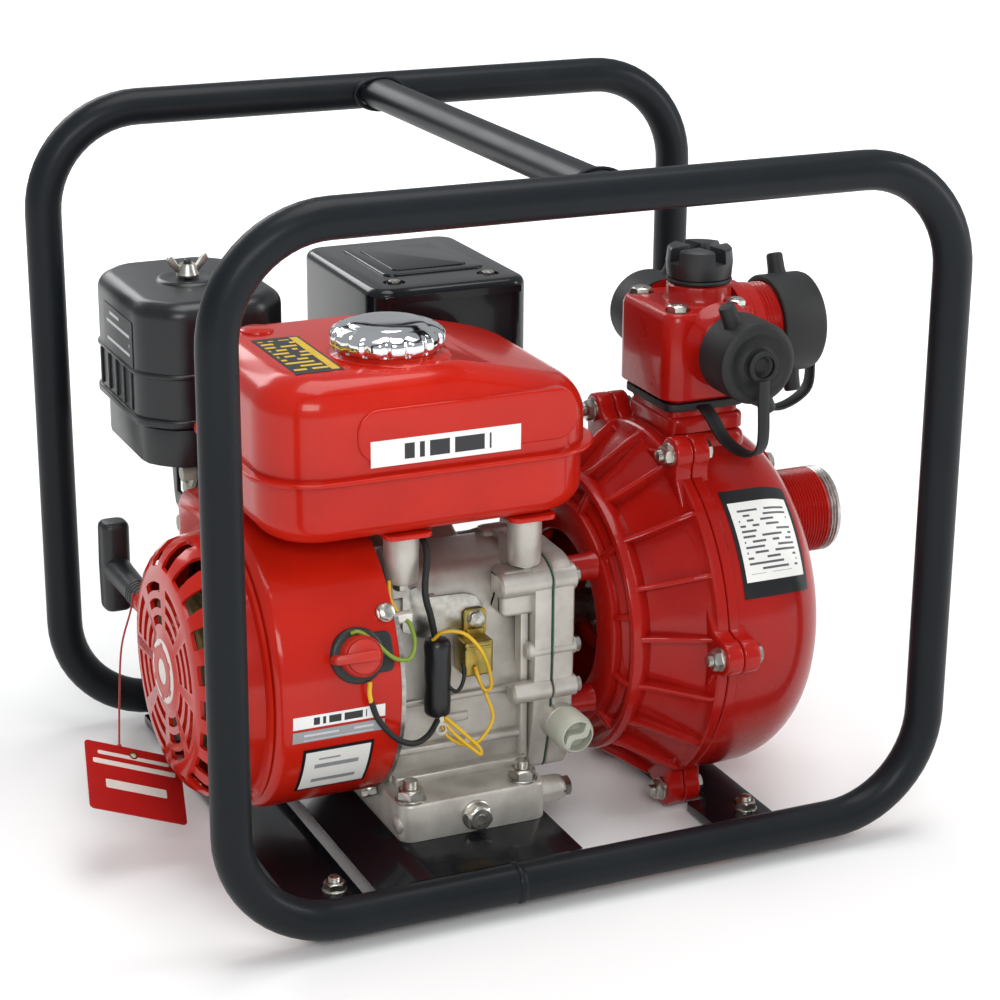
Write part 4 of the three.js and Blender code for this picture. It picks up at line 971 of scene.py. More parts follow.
def makeShroud():
    low, high = localBox("fan_shroud")
    ring = arcPoints(shroudSizes["radius"], 75, 320, 56)
    ring += [(high.y - 8, -56), (high.y, -46), (high.y, 80), (high.y - 6, 88), (50, 92)]
    shell = outline(ring, "x", low.x, high.x)
    bpy.ops.object.mode_set(mode="EDIT")
    pick("EDGE", lambda e: all(abs(v.co.x - low.x) < 0.01 for v in e.verts))
    bpy.ops.mesh.bevel(offset=shroudSizes["rim"], segments=6, affect="EDGES")
    pick("FACE", lambda f: f.normal.x > 0.9)
    bpy.ops.mesh.delete(type="FACE")
    bpy.ops.object.mode_set(mode="OBJECT")
    applyModifier(shell, "SOLIDIFY", thickness=shroudSizes["wall"], offset=-1)
    cutAway(shell, [rod(shroudSizes["opening"], low.x - 5, low.x + 20, "x", 0, 0, 64)])
    settle(shell, "shroud_shell", "red", "root", ("fan_shroud",), 40)

    # the bare folded edge beside the crankcase and the black ring behind the starter
    edge = outline(arcPoints(shroudSizes["radius"] + 0.4, 150, 318, 48)
                   + arcPoints(shroudSizes["radius"] - 2.8, 318, 150, 48), "x", high.x - 0.5, high.x + 2.4)
    settle(edge, "shroud_bare_edge", "bright", "root")
    ring = turned([(low.x - 0.2, 80), (low.x - 0.2, 90.5), (low.x + 1, 91.5), (low.x + 2, 90.5),
                   (low.x + 2, 80), (low.x - 0.2, 80)], "x", 0, 0, 80)
    settle(ring, "starter_seal_ring", "plastic", "root")
    boltsAt([((-118, *Vector((0, 99.2 * math.cos(a), 99.2 * math.sin(a))).yz), (0, math.cos(a), math.sin(a)))
             for a in [math.radians(d) for d in (148, 238)]], 6, "shroud_bolts")


def arcSlot(inner, outer, start, end, low, high):
    steps = max(3, int((end - start) / 5))
    return outline(arcPoints(outer, start, end, steps) + arcPoints(inner, end, start, steps), "x", low, high)


recoilSizes = {
    # inner radius, outer radius, count and span in degrees of each band of slots
    "slotBands": ((31, 37, 8, 33), (42, 48, 8, 33), (53, 59, 8, 33)),
    "slotTurn": 6,
    "windows": 20,
    "closedWindows": (0, 1, 19),
    "guideLow": 80,
    "boltCircle": 91,
    "boltAngles": (118, 238, 350),
}


def makeRecoil():
    low, high = localBox("recoil_cover")
    face, rim = low.x, high.x
    shell = turned([
        (face, 0), (face, 24), (face + 1.2, 26), (face + 1.2, 62), (face + 2, 67), (face + 4.5, 73),
        (face + 9, 79), (face + 16, 84.5), (face + 26, 87), (rim - 3, 88), (rim - 2, 93), (rim, 94),
        (rim, 85), (rim - 5, 84.5), (face + 24, 84), (face + 15, 81.5), (face + 9, 76), (face + 5.5, 70),
        (face + 4, 64), (face + 4, 26), (face + 3.4, 24), (face + 3.4, 0),
    ], "x", 0, 0, 112)
    cutters = []
    for inner, outer, count, span in recoilSizes["slotBands"]:
        for i in range(count):
            start = 360 * i / count + recoilSizes["slotTurn"]
            cutters.append(arcSlot(inner, outer, start, start + span, face - 4, face + 12))
    windows = recoilSizes["windows"]
    for i in range(windows):
        if i in recoilSizes["closedWindows"]:
            continue
        window = softBox((face + 2, -6.5, 69), (face + 22, 6.5, 96), 2.5, 0, 3, axis=2)
        cutters.append(turnSpace(window, (0, 0, 0), (360 * i / windows - 90, 0, 0)))
    cutAway(shell, [joinPieces(cutters)])
    badge = turned([(face - 0.8, 0), (face - 0.8, 20.5), (face, 21.5), (face + 1, 21.5), (face + 1, 0)],
                   "x", 0, 0, 64)
    guideLow = recoilSizes["guideLow"]
    pull = math.radians(1)
    guide = turned([(-8, 5), (-8, 8.6), (14, 8.6), (16, 9.4), (18.2, 8.6), (18.6, 6), (18, 4.4), (-8, 4.4),
                    (-8, 5)], "z", 0, 0, 40)
    aimPiece(guide, (-222.5, guideLow, 13 - (172 - guideLow) * math.tan(pull)),
             (0, math.cos(pull), math.sin(pull)))
    settle(joinPieces([shell, guide]), "recoil_cover_shell", "red", "root", ("recoil_cover",),
           35)
    settle(badge, "recoil_badge", "white", "root")
    spokes = [turned([(face - 1.3, 9), (face - 1.3, 17), (face - 0.5, 17.6), (face - 0.5, 8.4),
                      (face - 1.3, 9)], "x", 0, 0, 48)]
    for i in range(6):
        tooth = softBox((face - 1.3, -2.2, 15), (face - 0.5, 2.2, 19.4), 0, 0)
        spokes.append(turnSpace(tooth, (0, 0, 0), (60 * i, 0, 0)))
    settle(joinPieces(spokes), "recoil_badge_ring", "redPlastic", "root")
    circle = recoilSizes["boltCircle"]
    boltsAt([((rim - 3.4, circle * math.cos(a), circle * math.sin(a)), (-1, 0, 0))
             for a in [math.radians(d) for d in recoilSizes["boltAngles"]]], 5, "recoil_bolts", washer=False)

    reelLow, reelHigh = localBox("recoil_reel")
    reel = turned([(reelLow.x, 6.6), (reelLow.x, 30), (reelLow.x + 2, 34), (reelLow.x + 1, 40),
                   (reelLow.x, 54), (reelLow.x + 3, 54), (reelLow.x + 3.4, 48), (reelHigh.x - 3.4, 48),
                   (reelHigh.x - 3, 54), (reelHigh.x, 54), (reelHigh.x, 6.6), (reelLow.x, 6.6)], "x", 0, 0,
                   72)
    holes = [turnSpace(rod(6, reelLow.x - 3, reelHigh.x + 3, "x", 0, 20, 24), (0, 0, 0), (90 * i, 0, 0))
             for i in range(4)]
    cutAway(reel, [joinPieces(holes)])
    settle(reel, "recoil_reel_shell", "olive", "recoil_reel", ("recoil_reel",), 35)


def makeHandle():
    low, high = localBox("starter_handle")
    x = (low.x + high.x) / 2
    v = high.y - 10.3
    w = 13
    bar = softBox((x - 10.2, v - 10, w - 33), (x + 10.2, v + 10, w + 33), 7, 4, 5, 3, True)
    bpy.ops.object.mode_set(mode="EDIT")
    bpy.ops.mesh.select_all(action="SELECT")
    bpy.ops.mesh.bisect(plane_co=(x, v, w), plane_no=(0, 0, 1))
    pick("VERT", lambda p: abs(p.co.z - w) < 1)
    bpy.ops.transform.resize(value=(1, 1.12, 1), center_override=(x, v - 10, w))
    bpy.ops.object.mode_set(mode="OBJECT")
    start = low.y
    snout = turned([(start, 3), (start, 8), (start + 1.5, 8.6), (start + 12, 8.8), (v - 18, 9.6),
                    (v - 8, 10.2), (v - 4, 10.2), (v - 4, 0), (start + 4, 0), (start + 4, 3), (start, 3)],
                    "y", x, 11.4, 40)
    ribs = [turned([(start + 4 + 4 * i, 8), (start + 4.6 + 4 * i, 9.4), (start + 6 + 4 * i, 9.4),
                    (start + 6.6 + 4 * i, 8)], "y", x, 11.4, 40) for i in range(4)]
    settle(joinPieces([bar, snout, *ribs]), "starter_handle_grip", "plastic", "starter_handle",
           ("starter_handle",), 40)
    ropeLow, ropeHigh = localBox("starter_rope")
    rope = turned([(ropeLow.y, 0), (ropeLow.y, 2.1), (ropeHigh.y, 2.1), (ropeHigh.y, 0)], "y", x, 11.6, 16)
    bpy.ops.object.mode_set(mode="EDIT")
    for i in range(1, 40):
        bpy.ops.mesh.select_all(action="SELECT")
        v = ropeLow.y + (ropeHigh.y - ropeLow.y) * i / 40
        bpy.ops.mesh.bisect(plane_co=(x, v, 12), plane_no=(0, 1, 0))
    bpy.ops.object.mode_set(mode="OBJECT")
    settle(rope, "starter_rope_cord", "rope", None, ("starter_rope",), 60)
    start = crank + Vector((x, ropeLow.y + 6, 12)) / 1000
    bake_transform(rope)


makeShroud()
makeRecoil()
makeHandle()
print("starter ready")

# pump
pumpSizes = {
    "rim": 126,
    "boltCircle": 135,
    "earRadius": 12,
    "earAngles": (25, 88, 154, -26, -90, -154),
    "legAngles": (45, 135, 225, 315),
    "legCircle": 68,
    "ribs": 18,
    "split": 110,
    "portCentre": 47,
    "portBolts": 39.5,
    "portBore": 24,
    "portAngles": (90, 210, 330),
}


def around(piece, angles):
    # copies of a piece drawn above the crank, turned about it
    copies = [turnSpace(copyOf(piece), (0, 0, 0), (angle, 0, 0)) for angle in angles]
    bpy.data.objects.remove(piece)
    return copies


def pumpEar(low, high, width):
    radius, reach = pumpSizes["earRadius"], pumpSizes["boltCircle"]
    ring = arcPoints(radius, -10, 190, 14, 0, reach)
    ring += [(-radius - 3, reach - 10), (-width, reach - 21), (width, reach - 21), (radius + 3, reach - 10)]
    return bevelEdges(outline(ring, "x", low, high), 1.6, 3, 30)


def makeRearHousing():
    rim, split = pumpSizes["rim"], pumpSizes["split"]
    shell = turned([
        (52, 70), (52, 83), (54, 85.5), (62, 89.5), (72, 95.5), (80, 102), (88, 109), (95, 115),
        (99, 118.5), (101, 121.5), (102, 125), (103.5, rim), (split - 0.9, rim), (split - 0.3, rim - 0.8),
        (split - 0.3, 117), (94, 111), (88, 101), (88, 24), (70, 24), (70, 32), (80, 40), (80, 88),
        (62, 70), (52, 70),
    ], "x", 0, 0, 112)
    hub = turned([(46, 57), (46, 77), (47.5, 79.6), (50, 80), (56, 80), (56, 68), (54, 56), (47, 56),
                  (46, 57)], "x", 0, 0, 96)
    ridge = turned([(58, 84), (53.5, 91), (52, 96), (53, 98.6), (56, 99.6), (60, 99), (64, 96.5), (70, 92),
                    (58, 84)], "x", 0, 0, 112)
    parts = [shell, hub, ridge]
    count = pumpSizes["ribs"]
    outer = outline([(56, 90), (57, 99), (66, 103), (78, 111), (90, 119.5), (99, rim - 0.6), (104, rim - 0.6),
                     (104, 116), (72, 92)], "y", -1.9, 1.9)
    parts += around(bevelEdges(outer, 1.1, 2, 40), [360 * i / count + 4 for i in range(count)])
    inner = outline([(46.6, 62), (47.2, 78), (51, 90), (54, 97), (60, 94), (60, 84), (54, 70)], "y", -2.2,
                    2.2)
    parts += around(bevelEdges(inner, 1.1, 2, 40), [360 * i / 12 + 15 for i in range(12)])
    for angle in pumpSizes["legAngles"]:
        v = pumpSizes["legCircle"] * math.cos(math.radians(angle))
        w = pumpSizes["legCircle"] * math.sin(math.radians(angle))
        parts.append(turned([(24.3, 0), (24.3, 8.2), (25.2, 9), (40, 9.3), (46, 10), (50, 11.5), (54, 14.5),
                             (56, 14.5), (56, 0)], "x", v, w, 32))
    parts += around(pumpEar(split - 12.3, split - 0.3, 31), pumpSizes["earAngles"])
    settle(joinPieces(parts), "pump_rear_housing_casting", "pumpRed", "root",
           ("pump_rear_housing",), 32)


def makePumpCover():
    rim, split = pumpSizes["rim"], pumpSizes["split"]
    portCentre, portBolts, portBore = (pumpSizes[key] for key in ("portCentre", "portBolts", "portBore"))
    outer = [(split + 0.3, 117), (split + 0.3, rim - 0.8), (split + 0.9, rim), (117, rim), (118.5, rim - 1.6),
             (122, rim - 1.5), (138, rim - 1.3), (150, rim - 1.8)]
    outer += [(150 + 46 * math.sin(a), 82 + 42.2 * math.cos(a))
              for a in [math.radians(6 * i) for i in range(1, 16)]]
    inner = [(196, 0), (187, 0), (187, 80), (181, 96), (170, 108), (150, 115), (split + 0.3, 117)]
    shell = turned(outer + inner, "x", 0, 0, 128)
    top = localBox("pump_cover")[1].z
    neck = softBox((split + 1.2, -34, 108), (163, 28, top), 6, 0, 5)
    foot = softBox((split + 0.3, -40, 106), (167, 34, 128), 9, 7, 5, 5)
    ledge = softBox((split + 0.3, -37, top - 24), (166, 31, top - 13), 7, 4, 5, 4)
    pad = turned([(187.5, 0), (187.5, 45), (193, 43.5), (196, 42), (196, 0)], "x", 0, portCentre, 72)
    cutAway(shell, [rod(portBore, 180, 200, "x", 0, portCentre, 48)])
    cutAway(pad, [rod(portBore, 180, 200, "x", 0, portCentre, 48)])
    bosses = []
    for angle in pumpSizes["portAngles"]:
        turn = math.radians(angle)
        v, w = portBolts * math.cos(turn), portCentre + portBolts * math.sin(turn)
        bosses.append(turned([(187.5, 0), (187.5, 10.8), (195, 10), (196, 9.3), (196, 0)], "x", v, w, 32))
    plug = turned([(190, 0), (190, 12), (197.4, 10.6), (198, 9.6), (198, 0)], "x", 0, -86, 6)
    parts = [shell, neck, foot, ledge, pad, plug, *bosses]
    parts += around(pumpEar(split + 0.3, split + 12.3, 27), pumpSizes["earAngles"])
    settle(joinPieces(parts), "pump_cover_casting", "pumpRed", "root", ("pump_cover",), 32)

    nuts, heads = [], []
    for angle in pumpSizes["earAngles"]:
        turn = math.radians(angle)
        v, w = -pumpSizes["boltCircle"] * math.sin(turn), pumpSizes["boltCircle"] * math.cos(turn)
        nuts.append(((split - 12.3, v, w), (-1, 0, 0)))
        heads.append(((split + 12.3, v, w), (1, 0, 0)))
    boltsAt(nuts, 8, "pump_nuts", stub=3.6)
    boltsAt(heads, 8, "pump_bolts", washer=False)


suctionSizes = {
    "plate": 40.5,
    "thread": 30.5,
    "pitch": 2.3,
    "bareEnd": 9,
}


def threadRings(start, end, radius, pitch, depth):
    # the crests and roots of a screw thread, as rings
    points = []
    for i in range(int((end - start) / pitch)):
        at = start + i * pitch
        points += [(at, radius - depth), (at + pitch * 0.38, radius), (at + pitch * 0.56, radius)]
    return points + [(end, radius - depth)]


def makeSuctionPort():
    low, high = localBox("suction_port")
    start, end = low.x, high.x
    v, w = 0, pumpSizes["portCentre"]
    radius, bore = suctionSizes["thread"], pumpSizes["portBore"]
    bareFrom = end - suctionSizes["bareEnd"]
    plate = suctionSizes["plate"]
    profile = [(start, bore), (start, 39), (start + 0.8, plate), (start + 7, plate), (start + 8, 39.4),
               (start + 8, 34), (start + 10, 31.4), (start + 14, radius - 1.2)]
    profile += threadRings(start + 16, bareFrom, radius, suctionSizes["pitch"], 1.1)
    profile += [(bareFrom, bore), (start, bore)]
    port = turned(profile, "x", v, w, 88)
    lugs, bolts = [], []
    for angle in pumpSizes["portAngles"]:
        turn = math.radians(angle)
        lugV = v + pumpSizes["portBolts"] * math.cos(turn)
        lugW = w + pumpSizes["portBolts"] * math.sin(turn)
        lugs.append(turned([(start, 0), (start, 8.4), (start + 0.8, 9), (start + 7.2, 9), (start + 8, 8.2),
                            (start + 8, 0)], "x", lugV, lugW, 32))
        bolts.append(((start + 8, lugV, lugW), (1, 0, 0)))
    settle(joinPieces([port, *lugs]), "suction_port_casting", "pumpRed", "root",
           ("suction_port",), 28)
    bare = turned([(bareFrom, bore), *threadRings(bareFrom, end - 1.2, radius, suctionSizes["pitch"], 1.1),
                   (end, radius - 1.6), (end, bore + 1), (end - 1, bore), (bareFrom, bore)], "x", v, w, 88)
    settle(bare, "suction_port_bare_end", "bright", "root", (), 28)
    boltsAt(bolts, 8, "suction_bolts", washer=False)


manifoldSizes = {
    "corner": 12,
    "outletHeight": 189,
    "small": 23.5,
    "large": 30,
    "wall": 4.5,
    "boltInset": 12.5,
    "pocket": 8.5,
    "pocketDepth": 3.2,
    "topSlope": 7,
}


def makeManifold():
    low, high = localBox("discharge_manifold")
    bottom, top = low.z, high.z - 12
    left, right, front, back = 103, 171, -42, 36
    x, w = 143, manifoldSizes["outletHeight"]
    box = softBox((left, front, bottom), (right, back, top), manifoldSizes["corner"], 0, 8)
    bpy.ops.object.mode_set(mode="EDIT")
    roundTopRim(manifoldSizes["topSlope"], 2)
    bpy.ops.object.mode_set(mode="OBJECT")
    bevelEdges(box, 1.2, 3, 25)
    inset = manifoldSizes["boltInset"]
    corners = [(left + inset, front + inset), (right - inset, front + inset),
               (left + inset, back - inset), (right - inset, back - inset)]
    seat = top - manifoldSizes["pocketDepth"]
    pockets = [rod(manifoldSizes["pocket"], seat, top + 8, "z", cx, cv, 32, 0) for cx, cv in corners]
    cutAway(box, pockets)
    small, large, wall = manifoldSizes["small"], manifoldSizes["large"], manifoldSizes["wall"]
    frontOut = turned([(front - 30, small - wall), (front - 30, small), (front - 10, small),
                       (front - 4, small + 1.5), (front - 1, small + 4), (front + 3, small + 6),
                       (front + 3, small - wall), (front - 30, small - wall)], "y", x, w, 72)
    backOut = turned([(back + 20, small - wall), (back + 20, small), (back + 8, small),
                      (back + 3, small + 1.5), (back + 1, small + 4), (back - 3, small + 6),
                      (back - 3, small - wall), (back + 20, small - wall)], "y", x, w, 72)
    thread = threadRings(right + 12, right + 38, large, 2.8, 1.1)
    side = turned([(right - 6, large - wall), (right - 6, large + 4), (right + 2, large + 3.4),
                   (right + 5, large + 1), (right + 12, large + 0.6), *thread, (right + 40, large - 1.4),
                   (right + 40, large - wall), (right - 6, large - wall)], "x", -3, w, 80)
    filler = turned([(top - 1, 17), (top - 1, 25), (top + 1.2, 23.4), (top + 3, 22.4), (top + 10.6, 22),
                     (top + 12, 20.8), (top + 12, 17), (top - 1, 17)], "z", x, -7, 72)
    cutAway(box, [rod(17, top - 20, top + 4, "z", x, -7, 48)])
    settle(joinPieces([box, frontOut, backOut, side, filler]), "manifold_casting", "pumpRed", "root",
           ("discharge_manifold",), 30)
    boltsAt([((cx, cv, seat), (0, 0, 1)) for cx, cv in corners], 8, "manifold_bolts")


capSizes = {
    "lugRadius": 6,
    "lugOut": 14,
    "button": 7.5,
    "dish": 2.4,
}


def makeOutletCap(node, along, open_, face, outer, lugTurn, body, a, b):
    # a moulded cup: round rim, dished face, centre stud and two stub lugs
    sign = 1 if face > open_ else -1
    depth = abs(face - open_)
    inner = outer - 3.5

    def at(distance):
        return open_ + sign * distance
    dish = capSizes["dish"]
    profile = [(at(0), inner), (at(0), outer - 0.8), (at(0.8), outer), (at(depth - 4.5), outer),
               (at(depth - 2), outer - 0.8), (at(depth - 0.6), outer - 2.6), (at(depth), outer - 5),
               (at(depth), outer - 6.4), (at(depth - 0.8), outer - 8), (at(depth - dish), outer - 11),
               (at(depth - dish), 14), (at(depth - dish + 0.6), 12), (at(depth - 1), 11), (at(depth - 1), 0),
               (at(depth - 6), 0), (at(depth - 6), inner), (at(0), inner)]
    cup = turned(profile, along, a, b, 88)
    button = capSizes["button"]
    stud = turned([(at(depth - 2), 0), (at(depth - 2), button), (at(depth + 1.6), button),
                   (at(depth + 2.6), button - 1), (at(depth + 3), button - 2.4),
                   (at(depth + 2.2), button - 3.2), (at(depth + 2.2), 0)],
                  along, a, b, 48)
    radius, out = capSizes["lugRadius"], capSizes["lugOut"]
    lugs = []
    for angle in (0, 180):
        lug = turned([(outer - 4, 0), (outer - 4, radius + 1.4), (outer + 0.5, radius + 0.4),
                      (outer + 3, radius), (outer + out - 1.6, radius - 0.3),
                      (outer + out - 0.4, radius - 1), (outer + out, radius - 2.2), (outer + out, 0)], "z",
                      0, 0, 32)
        middle = (open_ + face) / 2
        if along == "y":
            turnSpace(lug, (0, 0, 0), (0, angle + lugTurn, 0))
            turnSpace(lug, (a, middle, b))
        else:
            turnSpace(lug, (0, 0, 0), (angle + lugTurn, 0, 0))
            turnSpace(lug, (middle, a, b))
        lugs.append(lug)
    settle(joinPieces([cup, stud, *lugs]), node + "_moulding", "rubber", body, (node,), 32)


def makeCaps():
    makeOutletCap("outlet_cap_front", "y", -60, -93, 27.8, -25, "outlet_cap_front", 143, 189)
    makeOutletCap("outlet_cap_rear", "y", 41, 74, 27.8, 25, "outlet_cap_rear", 143, 189)
    makeOutletCap("outlet_cap_side", "x", 196, 230, 34.3, -20, "outlet_cap_side", -3, 189)

    low, high = localBox("priming_cap")
    top, seat = high.z, high.z - 24
    x, v = (low.x + high.x) / 2, (low.y + high.y) / 2
    cap = turned([(seat - 10, 0), (seat - 10, 16.2), (seat + 0.2, 16.2), (seat + 0.2, 20.2),
                  (seat + 1.6, 21.4), (seat + 2.6, 20.6), (seat + 3.4, 20.6), (seat + 4.2, 22),
                  (seat + 14, 22.8), (seat + 22.6, 21.8), (top, 20.4), (top, 0)], "z", x, v, 88)
    slots = [softBox((x - 26, v - 4.5, seat + 14.5), (x + 26, v + 4.5, top + 4)),
             softBox((x - 4.5, v - 26, seat + 14.5), (x + 4.5, v + 26, top + 4))]
    for slot in slots:
        turnSpace(slot, (-x, -v, 0))
        turnSpace(slot, (0, 0, 0), (0, 0, 12))
        turnSpace(slot, (x, v, 0))
    cutAway(cap, slots)
    bevelEdges(cap, 0.6, 2, 50)
    settle(cap, "priming_cap_moulding", "plastic", "priming_cap", ("priming_cap",), 32)
    seal = turned([(seat + 0.2, 17), (seat + 0.4, 21.8), (seat + 1.8, 22.5), (seat + 3.2, 21.8),
                   (seat + 3.4, 17), (seat + 0.2, 17)], "z", x, v, 72)
    settle(seal, "priming_cap_ring", "rubber", "priming_cap", (), 50)


strapSizes = {
    "halfWidth": 5,
    "halfThickness": 1.2,
    "eyeletInner": 7.7,
    "eyeletOuter": 10.8,
}


def strapRibbon(points):
    return alongLine([tuple(p) for p in smoothLine(points, 6)], strapSizes["halfThickness"], 8,
                     strapSizes["halfWidth"])


def makeStraps():
    band = softBox((106.6, -37.6, 144.3), (166.2, 31.6, 149.7), 8, 0, 6)
    cutAway(band, [softBox((110.4, -33.9, 140), (162.9, 27.9, 154), 6, 0, 5)])
    bevelEdges(band, 0.8, 2, 40)
    front = strapRibbon([(133, -37, 147), (133, -48, 143), (136, -64, 130), (140, -86, 126),
                         (143, -100.3, 136), (143, -99.8, 169), (143, -99.6, 180)])
    back = strapRibbon([(133, 31, 147), (133, 42, 143), (136, 54, 130), (140, 68, 126), (143, 81.3, 136),
                        (143, 80.8, 169), (143, 80.6, 180)])
    right = strapRibbon([(166, -7, 147), (181, -7, 138), (209, -5, 128), (233.3, -3, 138), (236.3, -3, 159),
                         (235.6, -3, 180)])
    inner, outer = strapSizes["eyeletInner"], strapSizes["eyeletOuter"]
    eyelets = []
    for low, high, along, a, b in ((-99.6, -96.6, "y", 143, 189), (77.6, 80.6, "y", 143, 189),
                                   (233.4, 236.4, "x", -3, 189)):
        eyelets.append(turned([(low, inner), (low, outer - 0.7), (low + 0.7, outer), (high - 0.7, outer),
                               (high, outer - 0.7), (high, inner), (low, inner)], along, a, b, 48))
    settle(joinPieces([band, front, back, right, *eyelets]), "cap_straps_moulding", "rubber", "root",
           ("cap_straps",), 40)


makeRearHousing()
makePumpCover()
makeSuctionPort()
makeManifold()
makeCaps()
makeStraps()
print("pump ready")

# crankcase, side cover and cylinder
caseSizes = {
    "baseBoltX": (-102, -22),
    "baseBoltV": (-86, 88),
    "corner": 6,
    "cylinderAt": -58,
    "cylinderTilt": 25,
    "bore": 35,
    "fins": 13,
    "finPitch": 5.2,
    "finThickness": 2.0,
    "flangeTop": -80,
    "flangeBottom": -106,
}
caseOutline = [(-58, -84), (-58, -20), (-50, 8), (-50, 45), (-38, 60), (10, 62), (60, 34), (84, 0), (84, -84)]
coverOutline = [(-60, -88), (-70, -50), (-72, 0), (-72, 56), (-58, 64), (10, 66), (62, 42), (84, 6),
                (80, -88)]
cavityOutline = [(-48, -80), (-44, 0), (-44, 42), (-34, 52), (8, 54), (54, 28), (74, -4), (74, -80)]
bossPlaces = [(-64, 50, 9, -31), (-66, 2, 6.5, -12), (-68, -26, 7.5, -23), (-54, -76, 7, -14),
              (6, 60, 7.5, -14), (56, 38, 7.5, -14), (76, -4, 7, -14), (72, -78, 7, -14)]


def roundedOutline(points, axis, start, end, corner, edge=0.0):
    # an outline whose long corners and both rims are rounded
    piece = outline(points, axis, start, end)
    index = "xyz".index(axis)
    bpy.ops.object.mode_set(mode="EDIT")
    pick("EDGE", lambda e: abs(e.verts[0].co[index] - e.verts[1].co[index]) > 1)
    bpy.ops.mesh.bevel(offset=corner, segments=5, affect="EDGES")
    bpy.ops.object.mode_set(mode="OBJECT")
    return bevelEdges(piece, edge, 3, 50) if edge else piece


def tiltedBox(halfAcross, low, high, halfHigh, corner=0.0):
    # a block drawn along the cylinder's axis, which leans up to the back
    box = softBox((-halfAcross, low, -halfHigh), (halfAcross, high, halfHigh), corner, 0, 4, axis=1)
    turnSpace(box, (0, 0, 0), (caseSizes["cylinderTilt"], 0, 0))
    return turnSpace(box, (caseSizes["cylinderAt"], 0, 0))


def tiltedRod(radius, low, high):
    piece = rod(radius, low, high, "y", 0, 0, 48)
    turnSpace(piece, (0, 0, 0), (caseSizes["cylinderTilt"], 0, 0))
    return turnSpace(piece, (caseSizes["cylinderAt"], 0, 0))


def makeCrankcase():
    shell = roundedOutline(caseOutline, "x", -106, -6, caseSizes["corner"], 2)
    flange = roundedOutline(coverOutline, "x", -7, 5, caseSizes["corner"], 0.5)
    barrel = tiltedBox(39, 20, 139, 38, 3)
    low, high = caseSizes["flangeBottom"], caseSizes["flangeTop"]
    for solid in (shell, flange, barrel):
        cutAway(solid, [roundedOutline(cavityOutline, "x", -99, 7, 4), tiltedRod(caseSizes["bore"], 10, 150)])
    for solid in (shell, flange):
        cutAway(solid, [rod(26.3, -99, 6, "x", 0, 0, 48), rod(12.3, -110, 8, "x", 0, 0, 48)])
    bearingBoss = turned([(-108.5, 26.3), (-108.5, 31), (-107, 32), (-86, 32), (-86, 26.3), (-108.5, 26.3)],
                         "x", 0, 0, 64)
    parts = [shell, flange, barrel, bearingBoss]
    for i in range(caseSizes["fins"]):
        start = 70 + i * caseSizes["finPitch"]
        fin = bevelEdges(tiltedBox(45, start, start + caseSizes["finThickness"], 42, 5), 0.6, 1, 50)
        parts.append(cutAway(fin, [tiltedRod(caseSizes["bore"] + 1, 60, 150)]))
    base = softBox((-112, -97, low), (-8, 100, high), 9, 2, 6, 3)
    spigot = turned([(-113.5, 0), (-113.5, 5), (-112.6, 6.4), (-104, 7), (-104, 0)], "x", -87, -96, 32)
    plugBoss = turned([(-10, 0), (-10, 9.5), (4, 9), (6, 8.6), (6.6, 8), (6.6, 0)], "x", -84, -92, 40)
    parts += [base, spigot, plugBoss]
    for x in tankSizes["postX"]:
        parts.append(turned([(62, 0), (62, 8), (62.8, 10.2), (64, 11), (80, 11.5), (96.4, 11.5), (96.4, 0)],
                            "z", x, tankSizes["postV"], 48))
        parts.append(softBox((x - 8, -58, 50), (x + 8, -34, 78), 3, 2, 4, 2))
    # raised pads, steps and webs on the front wall
    parts += [
        softBox((-29.4, -67, 28), (-4, -46, 60), 3, 5, 4, 4, True, 0),
        softBox((-104, -61.4, -27), (-12, -54, -22.6), 0, 1.4, 3, 3, True, 1),
        softBox((-104, -63.4, -60), (-8, -54, -55), 0, 1.6, 3, 3, True, 1),
        softBox((-72, -60.6, -43), (-50, -54, -37), 0, 1.2, 3, 3, True, 1),
        softBox((-104, -66, -81), (-10, -54, -74), 0, 2.4, 3, 3, True, 1),
        softBox((-14, -64, -74), (-8, -54, 30), 0, 1.6, 3, 3, True, 1),
        softBox((-76, -52, 6), (-70, -40, 46), 0, 1.6, 3, 3, True, 1),
    ]
    for v, w, radius, start in bossPlaces:
        parts.append(turned([(start, 0), (start, radius - 2), (start + 1.6, radius - 0.4),
                             (start + 4, radius), (4.4, radius), (5, radius - 0.6), (5, 0)], "x", v, w, 36))
    settle(joinPieces(parts), "crankcase_casting", "cast", "root", ("crankcase",), 35)
    boltsAt([((x, v, high), (0, 0, 1)) for v in caseSizes["baseBoltV"] for x in caseSizes["baseBoltX"]], 10,
            "base_nuts", stub=6)
    boltsAt([((6.6, -84, -92), (1, 0, 0))], 8, "side_plug")
    drain = boltsAt([((-60, -97.3, -94), (0, -1, 0))], 10, "oil_drain_bolt_head", "oil_drain_bolt")
    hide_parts("oil_drain_bolt")


